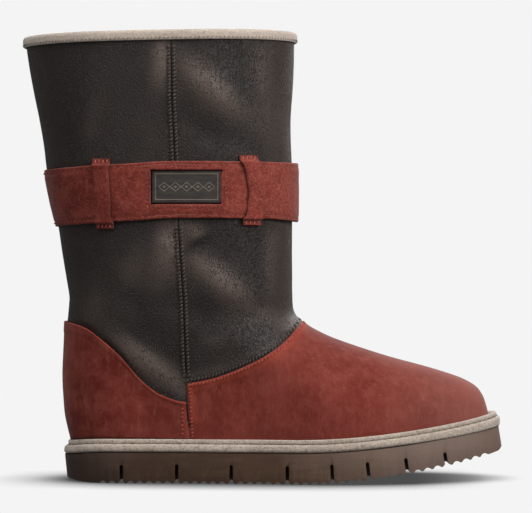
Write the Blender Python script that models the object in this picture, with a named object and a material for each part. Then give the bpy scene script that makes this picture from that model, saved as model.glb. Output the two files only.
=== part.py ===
"""A mukluk boot for the right foot, standing empty on its sole.

Metres, +Z up, toe towards +X, outer side of the foot towards -Y. The origin is on the floor under the
middle of the heel.
"""

import math
from collections import namedtuple

import bmesh
import bpy
from mathutils import Vector

# Sole
SOLE_LENGTH = 0.280
HEEL_BACK = 0.0407
SOLE_THICK = 0.019
TOP_SPRING = 0.0165
TOE_SPRING = 0.0197
HEEL_DIP = 0.0028
HEEL_CURVE = 0.030
TOP_SPRING_START = 0.51
TOE_SPRING_START = 0.53
TOP_SPRING_POWER = 1.9
TOE_SPRING_POWER = 1.75
HEEL_BEVEL = 0.0022
HEEL_BEVEL_LENGTH = 0.019
CORNER = 0.0035
FLARE_TOE = 0.16
FLARE_HEEL = -0.10

# Tread
TOOTH_PITCH = 0.0059
TOOTH_DEPTH = 0.0016
TIP_FLAT = 0.0010
SLOT_WIDTH = 0.0022
SLOT_ROUND = 0.0006
SLOT_DEPTH = 0.016
TREAD_BACK = 0.073
TREAD_FRONT = 0.973

# Margin of the sole outside the upper
MARGIN_HEEL = 0.0065
MARGIN_SIDE = 0.0060
MARGIN_TOE = 0.0090

# Foot
BALL_WIDTH = 0.098
HEEL_WIDTH = 0.072
INSTEP_RISE = 0.087
TOE_SWING = 0.008
ARCH_SHIFT = 0.0035
HEEL_STATION = 0.14
WAIST_STATION = 0.40
BALL_STATION = 0.66

# Shaft
UPPER_RISE = 0.2623
COLLAR_LENGTH = 0.1715
COLLAR_WIDTH = 0.110
SHAFT_TILT = math.radians(1.07)

# Walls and clearances
WALL = 0.003
GAP = 0.0003
COUNTER_THICK = 0.0015
INSOLE_THICK = 0.004

# Felt trims
WELT_HEIGHT = 0.0084
WELT_ROLL = 0.0056
WELT_LIP = 0.0034
WELT_ROUND = 0.0010
BINDING_HEIGHT = 0.0072
BINDING_THICK = 0.0013
BINDING_ROUND = 0.0004

# Heel counter
COUNTER_LENGTH = 0.0776
COUNTER_BACK_RISE = 0.084
COUNTER_FRONT_RISE = 0.0297
COUNTER_CURVE_START = -0.006
COUNTER_CURVE_END = 0.068

# Strap, its window and its keepers. Places are shares of the way from the shaft's back to its front.
STRAP_RISE = 0.1624
STRAP_HEIGHT = 0.0356
STRAP_BOW = 0.0025
STRAP_TILT = math.radians(1.4)
STRAP_THICK = 0.0022
STRAP_FRONT_SLACK = 0.0016
WINDOW_LENGTH = 0.0445
WINDOW_HEIGHT = 0.0210
WINDOW_PLACE = 0.5734
WINDOW_LIFT = 0.0009
WINDOW_CORNER = 0.0012
LABEL_THICK = 0.0012
KEEPER_WIDTH = 0.0108
KEEPER_TAB = 0.0038
KEEPER_THICK = 0.0015
KEEPER_RAMP = 0.0006
KEEPER_LEAN = 0.050
KEEPER_PLACES = {"rear": 0.2338, "front": 0.8232}

# Steps round each section: back curve, straight side, front curve
BACK_STEPS = 7
SIDE_STEPS = 7
FRONT_STEPS = 8
HALF = BACK_STEPS + SIDE_STEPS + FRONT_STEPS
AROUND = 2 * HALF

FOOT_LENGTH = SOLE_LENGTH - MARGIN_HEEL - MARGIN_TOE
SOLE_BACK_X = -HEEL_BACK
SOLE_FRONT_X = SOLE_BACK_X + SOLE_LENGTH
FOOT_BACK_X = SOLE_BACK_X + MARGIN_HEEL

# Slots cut into both sides of the sole: place as a share of its length, height as a share of its thickness
Slot = namedtuple("Slot", "place height")
SLOTS = [
    Slot(0.135, 0.60),
    Slot(0.259, 0.63),
    Slot(0.381, 0.62),
    Slot(0.506, 0.61),
    Slot(0.607, 0.63),
    Slot(0.688, 0.60),
    Slot(0.775, 0.56),
    Slot(0.864, 0.50),
]

# Sections of the foot, from the feather line up. The ends are shares of the foot's length, the rises of the
# instep's rise, the heel of the heel's width, the waist and ball of the ball's width, and the curves of the
# section's own length.
FootSection = namedtuple(
    "FootSection",
    "back back_rise front front_rise heel waist ball back_curve front_curve square swing",
)
WELT_SHARE = WELT_HEIGHT / INSTEP_RISE
FOOT = [
    FootSection(0.0000, 0.0, 1.0000, 0.0, 0.903, 0.735, 0.949, 0.130, 0.36, 2.30, 1.0),
    FootSection(-0.0040, WELT_SHARE, 0.9990, WELT_SHARE, 0.937, 0.765, 0.985, 0.130, 0.36, 2.30, 1.0),
    FootSection(-0.0113, 0.184, 0.9936, 0.170, 0.965, 0.786, 1.000, 0.135, 0.36, 2.28, 1.0),
    FootSection(-0.0185, 0.287, 0.9860, 0.233, 0.986, 0.796, 1.000, 0.140, 0.36, 2.25, 1.0),
    FootSection(-0.0212, 0.402, 0.9716, 0.301, 1.000, 0.801, 0.990, 0.145, 0.36, 2.20, 1.0),
    FootSection(-0.0229, 0.517, 0.9433, 0.371, 1.014, 0.806, 0.969, 0.150, 0.37, 2.15, 0.95),
    FootSection(-0.0231, 0.620, 0.9017, 0.443, 1.028, 0.811, 0.944, 0.165, 0.38, 2.10, 0.85),
    FootSection(-0.0222, 0.713, 0.8450, 0.525, 1.049, 0.821, 0.918, 0.180, 0.40, 2.08, 0.70),
    FootSection(-0.0210, 0.805, 0.7580, 0.631, 1.083, 0.837, 0.898, 0.210, 0.42, 2.05, 0.50),
    FootSection(-0.0197, 0.885, 0.6635, 0.752, 1.125, 0.857, 0.888, 0.250, 0.43, 2.05, 0.30),
    FootSection(-0.0183, 0.948, 0.5917, 0.854, 1.167, 0.878, 0.893, 0.290, 0.42, 2.05, 0.15),
    FootSection(-0.0170, 1.000, 0.5463, 0.938, 1.200, 0.893, 0.898, 0.330, 0.41, 2.05, 0.05),
    FootSection(-0.0152, 1.069, 0.5282, 1.017, 1.230, 0.903, 0.903, 0.360, 0.40, 2.05, 0.0),
]

# Sections of the shaft, upwards. The rise is a share of the upper's rise, the front of the foot's length, the
# length and width of the collar's.
ShaftSection = namedtuple("ShaftSection", "rise front length width curve")
SHAFT = [
    ShaftSection(0.379, 0.5251, 0.8327, 0.818, 0.38),
    ShaftSection(0.420, 0.5251, 0.8420, 0.827, 0.39),
    ShaftSection(0.477, 0.5242, 0.8542, 0.845, 0.40),
    ShaftSection(0.550, 0.5240, 0.8711, 0.873, 0.40),
    ShaftSection(0.612, 0.5240, 0.8927, 0.900, 0.40),
    ShaftSection(0.675, 0.5236, 0.9108, 0.927, 0.40),
    ShaftSection(0.742, 0.5214, 0.9201, 0.945, 0.40),
    ShaftSection(0.802, 0.5214, 0.9364, 0.964, 0.40),
    ShaftSection(0.870, 0.5262, 0.9650, 0.982, 0.40),
    ShaftSection(0.934, 0.5282, 0.9854, 0.991, 0.40),
    ShaftSection(1.000, 0.5292, 1.0000, 1.000, 0.40),
]
SHAFT_SQUARE = 2.05

# Stretches of rows, counted up from the feather line, that get one more row between each two
FINE_ROWS = [(3, 6), (10, 13)]

# The seam round the vamp, seen from the side: up the side seam, then over the instep. The places are shares
# of the foot's length, the rises of the instep's rise.
SeamPoint = namedtuple("SeamPoint", "place rise")
VAMP_SEAM = [
    SeamPoint(0.2810, -0.20),
    SeamPoint(0.2779, 0.10),
    SeamPoint(0.2750, 0.35),
    SeamPoint(0.2733, 0.500),
    SeamPoint(0.3361, 0.539),
    SeamPoint(0.3970, 0.607),
    SeamPoint(0.4537, 0.691),
    SeamPoint(0.4953, 0.777),
    SeamPoint(0.5282, 0.875),
    SeamPoint(0.5500, 0.954),
    SeamPoint(0.6100, 1.200),
]

# One section of the upper in metres
Section = namedtuple(
    "Section",
    "back_x back_rise front_x front_rise heel waist ball back_curve front_curve square swing",
)


def clear_scene():
    for obj in list(bpy.data.objects):
        bpy.data.objects.remove(obj, do_unlink=True)


def make_material(name, colour, roughness):
    material = bpy.data.materials.new(name)
    material.use_nodes = True
    shader = material.node_tree.nodes["Principled BSDF"]
    shader.inputs["Base Color"].default_value = (*colour, 1.0)
    shader.inputs["Roughness"].default_value = roughness
    shader.inputs["Metallic"].default_value = 0.0
    return material


def shaft_leather():
    return make_material("shaft_leather", (0.022, 0.016, 0.013), 0.45)


def red_nubuck():
    return make_material("red_nubuck", (0.20, 0.035, 0.022), 0.85)


def red_suede():
    return make_material("red_suede", (0.23, 0.045, 0.030), 0.90)


def beige_felt():
    return make_material("beige_felt", (0.40, 0.34, 0.27), 0.95)


def brown_rubber():
    return make_material("brown_rubber", (0.075, 0.045, 0.028), 0.70)


def dark_plate():
    return make_material("dark_plate", (0.030, 0.027, 0.023), 0.55)


def add_object(name, bm, material):
    bmesh.ops.recalc_face_normals(bm, faces=bm.faces)
    mesh = bpy.data.meshes.new(name)
    bm.to_mesh(mesh)
    bm.free()
    mesh.materials.append(material)
    mesh.shade_smooth()
    mesh.set_sharp_from_angle(angle=math.radians(40))
    obj = bpy.data.objects.new(name, mesh)
    bpy.context.scene.collection.objects.link(obj)
    return obj


def make_cutter(obj):
    obj.hide_render = True
    obj.display_type = "WIRE"
    return obj


def add_boolean(obj, cutter, operation):
    modifier = obj.modifiers.new(cutter.name, "BOOLEAN")
    modifier.operation = operation
    modifier.solver = "EXACT"
    modifier.object = cutter


def share_along(value, start, end):
    return min(max((value - start) / (end - start), 0.0), 1.0)


def ease(share):
    return share * share * (3 - 2 * share)


def mix(a, b, share):
    return a + (b - a) * share


# The lines of the sole seen from the side


def heel_dip(x):
    """How far the sole's top face drops towards the back of the heel."""
    return HEEL_DIP * (1 - share_along(x, SOLE_BACK_X, SOLE_BACK_X + HEEL_CURVE)) ** 2


def sole_top(x):
    """Height of the sole's top face, dipped at the heel and sprung at the toe."""
    spring_x = SOLE_BACK_X + TOP_SPRING_START * SOLE_LENGTH
    spring = max((x - spring_x) / (SOLE_FRONT_X - spring_x), 0.0)
    return SOLE_THICK + TOP_SPRING * spring**TOP_SPRING_POWER - heel_dip(x)


def sole_bottom(x):
    """Height of the line through the tips of the tread."""
    spring_x = SOLE_BACK_X + TOE_SPRING_START * SOLE_LENGTH
    spring = max((x - spring_x) / (SOLE_FRONT_X - spring_x), 0.0)
    bevel = max((SOLE_BACK_X + HEEL_BEVEL_LENGTH - x) / HEEL_BEVEL_LENGTH, 0.0)
    return TOE_SPRING * spring**TOE_SPRING_POWER + HEEL_BEVEL * bevel**1.5


def above_tread(x, height):
    """A point of the side view at this height square to the line of the tips."""
    step = 0.001
    slope = (sole_bottom(x + step) - sole_bottom(x - step)) / (2 * step)
    length = math.hypot(1.0, slope)
    return x - slope / length * height, sole_bottom(x) + height / length


# The upper's surface


def foot_section(row):
    return Section(
        FOOT_BACK_X + row.back * FOOT_LENGTH,
        GAP + row.back_rise * INSTEP_RISE,
        FOOT_BACK_X + row.front * FOOT_LENGTH,
        GAP + row.front_rise * INSTEP_RISE,
        row.heel * HEEL_WIDTH,
        row.waist * BALL_WIDTH,
        row.ball * BALL_WIDTH,
        row.back_curve,
        row.front_curve,
        row.square,
        row.swing,
    )


def shaft_section(row):
    front_x = FOOT_BACK_X + row.front * FOOT_LENGTH
    length = row.length * COLLAR_LENGTH
    tilt = math.tan(SHAFT_TILT) * length / 2
    width = row.width * COLLAR_WIDTH
    return Section(
        front_x - length,
        row.rise * UPPER_RISE - tilt,
        front_x,
        row.rise * UPPER_RISE + tilt,
        width,
        width,
        width,
        row.curve,
        row.curve,
        SHAFT_SQUARE,
        0.0,
    )


SECTIONS = [foot_section(row) for row in FOOT] + [shaft_section(row) for row in SHAFT]


def section_at(level):
    """The section at a level between two rows of the tables, on a smooth curve through all of them."""
    last = len(SECTIONS) - 1
    below = min(max(int(math.floor(level)), 0), last - 1)
    t = level - below
    rows = [SECTIONS[min(max(below + k, 0), last)] for k in (-1, 0, 1, 2)]
    weights = (
        -0.5 * t + t * t - 0.5 * t**3,
        1 - 2.5 * t * t + 1.5 * t**3,
        0.5 * t + 2 * t * t - 1.5 * t**3,
        -0.5 * t * t + 0.5 * t**3,
    )
    return Section(*(sum(w * v for w, v in zip(weights, values)) for values in zip(*rows)))


def width_along(section, share):
    """Width before the ends curve in, between heel, waist and ball."""
    if share < WAIST_STATION:
        along = ease(share_along(share, HEEL_STATION, WAIST_STATION))
        return mix(section.heel, section.waist, along)
    along = ease(share_along(share, WAIST_STATION, BALL_STATION))
    return mix(section.waist, section.ball, along)


def centre_along(section, share):
    """How far the last's middle line leaves the straight: out at the arch, in at the toe."""
    arch = math.sin(math.pi * share_along(share, HEEL_STATION, 0.85)) ** 2
    toe = ease(share_along(share, 0.55, 1.0))
    return section.swing * (TOE_SWING * toe - ARCH_SHIFT * arch)


def curved_end(angle, square):
    """Cosine and sine of a squared ellipse."""
    power = 2 / square
    return max(math.cos(angle), 0.0) ** power, max(math.sin(angle), 0.0) ** power


def outline_at(section, step):
    """Share along the section and share of its width, at a step from the back to the front."""
    if step <= BACK_STEPS:
        along, across = curved_end(step / BACK_STEPS * math.pi / 2, section.square)
        return section.back_curve * (1 - along), across
    if step <= BACK_STEPS + SIDE_STEPS:
        along = (step - BACK_STEPS) / SIDE_STEPS
        return mix(section.back_curve, 1 - section.front_curve, along), 1.0
    angle = (step - BACK_STEPS - SIDE_STEPS) / FRONT_STEPS * math.pi / 2
    across, along = curved_end(angle, section.square)
    return 1 - section.front_curve * (1 - along), across


def surface(column, level):
    """Point of the upper's outer face. Columns run from the back by the outer side to the front and home."""
    section = section_at(level)
    column = column % AROUND
    step = column if column <= HALF else AROUND - column
    side = -1 if column <= HALF else 1
    share, across = outline_at(section, step)
    x = mix(section.back_x, section.front_x, share)
    y = centre_along(section, share) + side * across * width_along(section, share) / 2
    rise = mix(section.back_rise, section.front_rise, share)
    level_out = share_along(rise, 0, INSTEP_RISE)
    return Vector((x, y, sole_top(x) + rise + level_out * heel_dip(x)))


def upper_levels():
    """Rows of the tables, with one more between each two at the top of the toe and at the throat."""
    levels = []
    for level in range(len(SECTIONS)):
        levels.append(level)
        if any(low <= level < high for low, high in FINE_ROWS):
            levels.append(level + 0.5)
    return levels


LEVELS = upper_levels()
GRID = [[surface(column, level) for level in LEVELS] for column in range(AROUND)]


def grid_normal(column, row):
    along = GRID[(column + 1) % AROUND][row] - GRID[column - 1][row]
    low = GRID[column][max(row - 1, 0)]
    high = GRID[column][min(row + 1, len(LEVELS) - 1)]
    return along.cross(high - low).normalized()


NORMALS = [[grid_normal(column, row) for row in range(len(LEVELS))] for column in range(AROUND)]


def row_of(level):
    """Row of the grid under a level, and how far the level is above it."""
    row = max(k for k in range(len(LEVELS) - 1) if LEVELS[k] <= level or k == 0)
    return row, (level - LEVELS[row]) / (LEVELS[row + 1] - LEVELS[row])


def skin(column, level, offset):
    """Point at a distance outside the upper's own facets, each cut from its lower left to its upper right."""
    row, up = row_of(level)
    left = int(math.floor(column))
    across = column - left
    corners = [(left, row, 1 - max(across, up)), (left + 1, row + 1, min(across, up))]
    if across > up:
        corners.append((left + 1, row, across - up))
    else:
        corners.append((left, row + 1, up - across))
    point = Vector()
    normal = Vector()
    for k, r, weight in corners:
        point += GRID[k % AROUND][r] * weight
        normal += NORMALS[k % AROUND][r] * weight
    return point + normal.normalized() * offset


def bisect(function, low, high, target):
    """Where a rising function reaches a target."""
    for _ in range(40):
        middle = (low + high) / 2
        if function(middle) < target:
            low = middle
        else:
            high = middle
    return (low + high) / 2


def level_at_rise(column, rise):
    """Level at which a column of the upper reaches this height above the sole."""

    def risen(level):
        point = skin(column, level, 0)
        return point.z - sole_top(point.x)

    return bisect(risen, 0, LEVELS[-1], rise)


def level_at_height(column, height):
    """Level at which a column of the upper reaches this height above the floor."""
    return bisect(lambda level: skin(column, level, 0).z, 0, LEVELS[-1], height)


def column_at_x(x, level):
    """Column on the outer side at which the upper reaches this place along the foot."""
    return bisect(lambda column: skin(column, level, 0).x, 0, HALF, x)


def plan_normal(column):
    """Level direction out of the feather line."""
    along = surface(column + 0.5, 0) - surface(column - 0.5, 0)
    return Vector((along.y, -along.x, 0)).normalized()


def ends_at(column):
    """How much of a column belongs to the heel's end and to the toe's end."""
    step = column if column <= HALF else AROUND - column
    heel = 1 - ease(share_along(step, 0, BACK_STEPS))
    toe = ease(share_along(step, BACK_STEPS + SIDE_STEPS, HALF))
    return heel, toe


def sole_flare(column):
    """How far the sole's side leans out downwards, for each metre of height."""
    heel, toe = ends_at(column)
    return FLARE_TOE * toe + FLARE_HEEL * heel


def sole_reach(column):
    """How far the top edge of the sole stands outside the upper."""
    heel, toe = ends_at(column)
    widest = mix(mix(MARGIN_SIDE, MARGIN_HEEL, heel), MARGIN_TOE, toe)
    return widest - toe * FLARE_TOE * (SOLE_THICK - CORNER)


# Solids swept through sections


def sweep(sections, ring):
    """Mesh through closed sections of equal length: round in a ring, or with both ends closed by strips."""
    bm = bmesh.new()
    rows = [[bm.verts.new(point) for point in section] for section in sections]
    count = len(rows[0])
    pairs = list(zip(rows, rows[1:]))
    if ring:
        pairs.append((rows[-1], rows[0]))
    for first, second in pairs:
        for k in range(count):
            n = (k + 1) % count
            bm.faces.new((first[k], first[n], second[n], second[k]))
    if not ring:
        for row in (rows[0], rows[-1]):
            for k in range(count // 2 - 1):
                bm.faces.new((row[k], row[k + 1], row[-2 - k], row[-1 - k]))
    bmesh.ops.triangulate(bm, faces=bm.faces, quad_method="FIXED")
    return bm


def shell_section(column, levels, inner, outer):
    """Section of a shell between two distances from the upper's face."""
    section = [skin(column, level, outer) for level in levels]
    section += [skin(column, level, inner) for level in reversed(levels)]
    return section


def vamp_outline(clearance):
    """Side view of the vamp's share of the upper, run past the sole and the toe."""
    seam = []
    for row in VAMP_SEAM:
        seam.append(Vector((FOOT_BACK_X + row.place * FOOT_LENGTH, SOLE_THICK + row.rise * INSTEP_RISE)))
    outline = []
    for k, point in enumerate(seam):
        along = seam[min(k + 1, len(seam) - 1)] - seam[max(k - 1, 0)]
        inwards = Vector((along.y, -along.x)).normalized()
        outline.append(tuple(point + inwards * clearance))
    beyond = SOLE_FRONT_X + SOLE_THICK
    return outline + [(beyond, outline[-1][1]), (beyond, outline[0][1])]


def upper_shell():
    """The whole upper as one hollow body, open at the collar and underneath."""
    sections = []
    for column in range(AROUND):
        section = shell_section(column, LEVELS, -WALL, 0)
        for end in (0, -1):
            section[end].z = sole_top(section[end].x) + GAP
        rim = len(LEVELS)
        section[rim].z = section[rim - 1].z
        sections.append(section)
    return sweep(sections, ring=True)


def build_upper(shaft_material, vamp_material):
    """Shaft and vamp, cut from one lasted body and sewn together along the vamp's seam."""
    shaft = add_object("shaft", upper_shell(), shaft_material)
    behind = make_cutter(add_object("vamp_share", side_form(vamp_outline(-GAP / 2)), vamp_material))
    add_boolean(shaft, behind, "DIFFERENCE")
    vamp = add_object("vamp", upper_shell(), vamp_material)
    front = make_cutter(add_object("vamp_form", side_form(vamp_outline(GAP / 2)), vamp_material))
    add_boolean(vamp, front, "INTERSECT")


def build_insole(material):
    """Footbed inside the upper, resting on the sole."""
    bm = bmesh.new()
    rings = []
    for lift in (GAP, GAP + INSOLE_THICK):
        ring = []
        for column in range(AROUND):
            point = skin(column, 0, -WALL - GAP)
            ring.append(bm.verts.new((point.x, point.y, sole_top(point.x) + lift)))
        rings.append(ring)
    for column in range(AROUND):
        following = (column + 1) % AROUND
        bm.faces.new((rings[0][column], rings[0][following], rings[1][following], rings[1][column]))
    for ring in rings:
        for step in range(HALF):
            corners = [ring[step], ring[step + 1], ring[-step - 1], ring[(AROUND - step) % AROUND]]
            bm.faces.new(list(dict.fromkeys(corners)))
    return add_object("insole", bm, material)


# Outsole


def valley(left, right):
    """Arched hollow between two tips, as places along the tread and heights."""
    width = right - left
    return [(left + width * share, TOOTH_DEPTH * math.sin(math.pi * share)) for share in (0.25, 0.5, 0.75)]


def tread_line():
    """Underside from back to front: tips and hollows, a hollow at each slot, as places and heights."""
    start = SOLE_BACK_X + TREAD_BACK * SOLE_LENGTH
    end = SOLE_BACK_X + TREAD_FRONT * SOLE_LENGTH
    places = [start, *(SOLE_BACK_X + slot.place * SOLE_LENGTH for slot in SLOTS), end]
    line = []
    for low, high in zip(places, places[1:]):
        count = max(round((high - low) / TOOTH_PITCH), 1)
        pitch = (high - low) / count
        half = (pitch - TIP_FLAT) / 2
        for k in range(1 if low == start else 0, count):
            middle = low + k * pitch
            line += [(middle - half, 0.0), *valley(middle - half, middle + half), (middle + half, 0.0)]
    return line


def sole_profile():
    """Side view of the sole, run past both ends."""
    past = 2 * CORNER
    heel = [(SOLE_BACK_X - past, 3 * CORNER), (SOLE_BACK_X, sole_bottom(SOLE_BACK_X) + CORNER / 2)]
    heel += [(x, sole_bottom(x)) for x in (SOLE_BACK_X + CORNER / 2, SOLE_BACK_X + HEEL_BEVEL_LENGTH / 2)]
    heel.append((SOLE_BACK_X + HEEL_BEVEL_LENGTH, 0.0))
    toe = [(x, sole_bottom(x)) for x in (SOLE_FRONT_X - 2 * CORNER, SOLE_FRONT_X - CORNER)]
    toe.append((SOLE_FRONT_X - CORNER / 8, sole_bottom(SOLE_FRONT_X) + CORNER / 2))
    toe.append((SOLE_FRONT_X + past, sole_bottom(SOLE_FRONT_X) + 3 * CORNER))
    bottom = heel + [above_tread(x, height) for x, height in tread_line()] + toe
    steps = 45
    start = SOLE_BACK_X - past
    end = SOLE_FRONT_X + past
    places = [mix(end, start, k / steps) for k in range(steps + 1)]
    return bottom + [(x, sole_top(x)) for x in places]


def side_form(*profiles):
    """Side views carried across, wider than the boot."""
    bm = bmesh.new()
    reach = BALL_WIDTH
    faces = [bm.faces.new([bm.verts.new((x, -reach, z)) for x, z in profile]) for profile in profiles]
    carried = bmesh.ops.extrude_face_region(bm, geom=faces)["geom"]
    moved = [item for item in carried if isinstance(item, bmesh.types.BMVert)]
    bmesh.ops.translate(bm, verts=moved, vec=(0, 2 * reach, 0))
    return bm


def plan_form(inset):
    """The sole's outline from above, set in, its sides leaning out at the toe and in under the heel."""
    bm = bmesh.new()
    rings = []
    for height in (-SOLE_THICK, 3 * SOLE_THICK):
        ring = []
        for k in range(2 * AROUND):
            column = k / 2
            base = surface(column, 0)
            out = sole_reach(column) + sole_flare(column) * (sole_top(base.x) - height) - inset
            point = base + plan_normal(column) * out
            ring.append(bm.verts.new((point.x, point.y, height)))
        rings.append(ring)
    bmesh.ops.bridge_loops(bm, edges=close_rings(bm, rings))
    for ring in rings:
        bm.faces.new(ring)
    return bm


def slot_profile(slot):
    """Side view of one slot, square to the tread, with a rounded top."""
    middle = SOLE_BACK_X + slot.place * SOLE_LENGTH
    top = slot.height * (sole_top(middle) - sole_bottom(middle))
    half = SLOT_WIDTH / 2
    corners = [
        (middle - half, -TOOTH_DEPTH),
        (middle - half, top - SLOT_ROUND),
        (middle - half + SLOT_ROUND, top),
        (middle + half - SLOT_ROUND, top),
        (middle + half, top - SLOT_ROUND),
        (middle + half, -TOOTH_DEPTH),
    ]
    return [above_tread(x, height) for x, height in corners]


def close_rings(bm, rings):
    """Edges round each ring of vertices."""
    return [bm.edges.new((ring[k - 1], ring[k])) for ring in rings for k in range(len(ring))]


def build_outsole(material):
    """Rubber wedge: its side view met with its outline, slotted from both sides as far as a solid core."""
    sole = add_object("outsole", side_form(sole_profile()), material)
    outline = make_cutter(add_object("outsole_outline", plan_form(0), material))
    add_boolean(sole, outline, "INTERSECT")
    core = make_cutter(add_object("outsole_core", plan_form(SLOT_DEPTH), material))
    slot_forms = side_form(*(slot_profile(slot) for slot in SLOTS))
    slots = make_cutter(add_object("outsole_slots", slot_forms, material))
    add_boolean(slots, core, "DIFFERENCE")
    add_boolean(sole, slots, "DIFFERENCE")
    return sole


# Welt and collar binding


def build_welt(material):
    """Felt roll round the foot: a lip against the upper over a fuller roll."""
    sections = []
    for column in range(AROUND):
        base = skin(column, 0, 0)
        out = plan_normal(column)
        reach = sole_reach(column)
        lip = min(WELT_LIP, reach * 0.6)
        section = []
        for distance, height in (
            (GAP, 0),
            (reach - WELT_ROUND, 0),
            (reach - GAP, WELT_ROLL * 0.3),
            (reach - GAP, WELT_ROLL * 0.6),
            (reach - WELT_ROUND, WELT_ROLL * 0.9),
            (lip + WELT_ROUND / 2, WELT_ROLL),
            (lip, WELT_ROLL + WELT_ROUND / 2),
            (lip, WELT_HEIGHT - WELT_ROUND),
            (lip - WELT_ROUND, WELT_HEIGHT - WELT_ROUND / 4),
        ):
            point = base + out * distance
            point.z = sole_top(point.x) + GAP + height
            section.append(point)
        section.append(skin(column, 1, GAP))
        sections.append(section)
    return add_object("welt", sweep(sections, ring=True), material)


def build_binding(material):
    """Felt strip folded over the upper's top edge."""
    top = LEVELS[-1]
    low = level_at_height(0, skin(0, top, 0).z - BINDING_HEIGHT + BINDING_THICK)
    turn = mix(low, top, 0.1)
    near = GAP
    far = GAP + BINDING_THICK
    inside = -WALL
    folded = [
        (far - BINDING_ROUND, far - 2 * BINDING_ROUND),
        (far - 3 * BINDING_ROUND, far),
        (inside - far + 3 * BINDING_ROUND, far),
        (inside - far + BINDING_ROUND, far - 2 * BINDING_ROUND),
    ]
    sections = []
    for column in range(AROUND):
        rim = skin(column, top, 0).z
        section = [
            skin(column, low, near),
            skin(column, low, far - BINDING_ROUND),
            skin(column, turn, far),
            skin(column, top, far),
        ]
        section += [raised(column, offset, rim + rise) for offset, rise in folded]
        section += [
            skin(column, top, inside - far),
            skin(column, turn, inside - far),
            skin(column, low, inside - far + BINDING_ROUND),
            skin(column, low, inside - near),
        ]
        section += [raised(column, offset, rim + GAP) for offset in (inside - near, near)]
        sections.append(section)
    return add_object("collar_binding", sweep(sections, ring=True), material)


def raised(column, offset, height):
    """Point over the upper's top edge, at a distance from its outer face."""
    point = skin(column, LEVELS[-1], offset)
    point.z = height
    return point


# Heel counter


def counter_rise(x):
    """Height of the counter's top edge above the sole."""
    distance = x - SOLE_BACK_X
    along = share_along(distance, COUNTER_CURVE_START, COUNTER_CURVE_END)
    return mix(COUNTER_FRONT_RISE, COUNTER_BACK_RISE, (1 + math.cos(math.pi * along)) / 2)


def build_counter(material):
    """Overlay round the heel, standing proud of the upper, on top of the welt."""
    front = column_at_x(SOLE_BACK_X + COUNTER_LENGTH, 3)
    inner_steps = [k / 2 for k in range(2 * BACK_STEPS - 4, int(2 * front) + 1)]
    side = [*range(1, BACK_STEPS - 2), *inner_steps, front]
    columns = [*reversed(side), 0, *(-column for column in side)]
    shared_levels = LEVELS[2:5]
    free_rows = 5
    sections = []
    for column in columns:
        bottom = level_at_rise(column, WELT_HEIGHT + 2 * GAP)
        top = level_at_rise(column, counter_rise(skin(column, 4, 0).x))
        levels = [bottom, *shared_levels]
        levels += [mix(shared_levels[-1], top, k / free_rows) for k in range(1, free_rows + 1)]
        sections.append(shell_section(column, levels, GAP, GAP + COUNTER_THICK))
    return add_object("heel_counter", sweep(sections, ring=False), material)


# Strap, label and keepers


def strap_slack(column):
    """How far the strap stands off the shaft, most at the front."""
    front = ease(share_along(abs(HALF - column), 6, 0))
    return GAP + STRAP_FRONT_SLACK * front


def strap_place(share):
    """Place along the foot of this share of the way from the shaft's back to its front under the strap."""
    return mix(skin(0, STRAP_LEVEL, 0).x, skin(HALF, STRAP_LEVEL, 0).x, share)


def strap_middle(x, step):
    """Height of the strap's middle line: tilted with the shaft and bowed up at the sides."""
    tilt = math.tan(STRAP_TILT) * (x - strap_place(WINDOW_PLACE))
    return SOLE_THICK + STRAP_RISE + tilt + STRAP_BOW * math.sin(math.pi * step / HALF) ** 2


def strap_edges(column):
    """Heights of the strap's lower and upper edge."""
    middle = strap_middle(skin(column, STRAP_LEVEL, 0).x, column)
    return middle - STRAP_HEIGHT / 2, middle + STRAP_HEIGHT / 2


def strap_levels(column):
    """Levels of the strap's two edges and of the upper's rows that lie between them all round."""
    inside = [level for level in LEVELS if STRAP_LOWEST < level < STRAP_HIGHEST]
    low, high = strap_edges(column)
    return [level_at_height(column, low), *inside, level_at_height(column, high)]


STRAP_LEVEL = level_at_height(0, SOLE_THICK + STRAP_RISE)
STRAP_LOWEST = max(level_at_height(step, strap_edges(step)[0] + WALL) for step in range(HALF + 1))
STRAP_HIGHEST = min(level_at_height(step, strap_edges(step)[1] - WALL) for step in range(HALF + 1))


def window_form(name, clearance, material):
    """Rounded block through the outer side of the strap, as large as its window less a clearance."""
    bm = bmesh.new()
    bmesh.ops.create_cube(bm, size=1)
    size = (WINDOW_LENGTH - 2 * clearance, COLLAR_WIDTH / 2, WINDOW_HEIGHT - 2 * clearance)
    bmesh.ops.scale(bm, verts=bm.verts, vec=size)
    upright = [edge for edge in bm.edges if abs((edge.verts[0].co - edge.verts[1].co).y) > GAP]
    bmesh.ops.bevel(
        bm, geom=upright, offset=WINDOW_CORNER - clearance, segments=3, affect="EDGES", profile=0.5
    )
    place = (strap_place(WINDOW_PLACE), -COLLAR_WIDTH / 2, SOLE_THICK + STRAP_RISE + STRAP_BOW + WINDOW_LIFT)
    bmesh.ops.translate(bm, verts=bm.verts, vec=place)
    return make_cutter(add_object(name, bm, material))


def build_strap(material):
    """Band round the shaft with a window for the label."""
    sections = []
    for column in range(AROUND):
        slack = strap_slack(column)
        sections.append(shell_section(column, strap_levels(column), slack, slack + STRAP_THICK))
    strap = add_object("strap", sweep(sections, ring=True), material)
    add_boolean(strap, window_form("strap_window", 0, material), "DIFFERENCE")
    return strap


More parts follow.
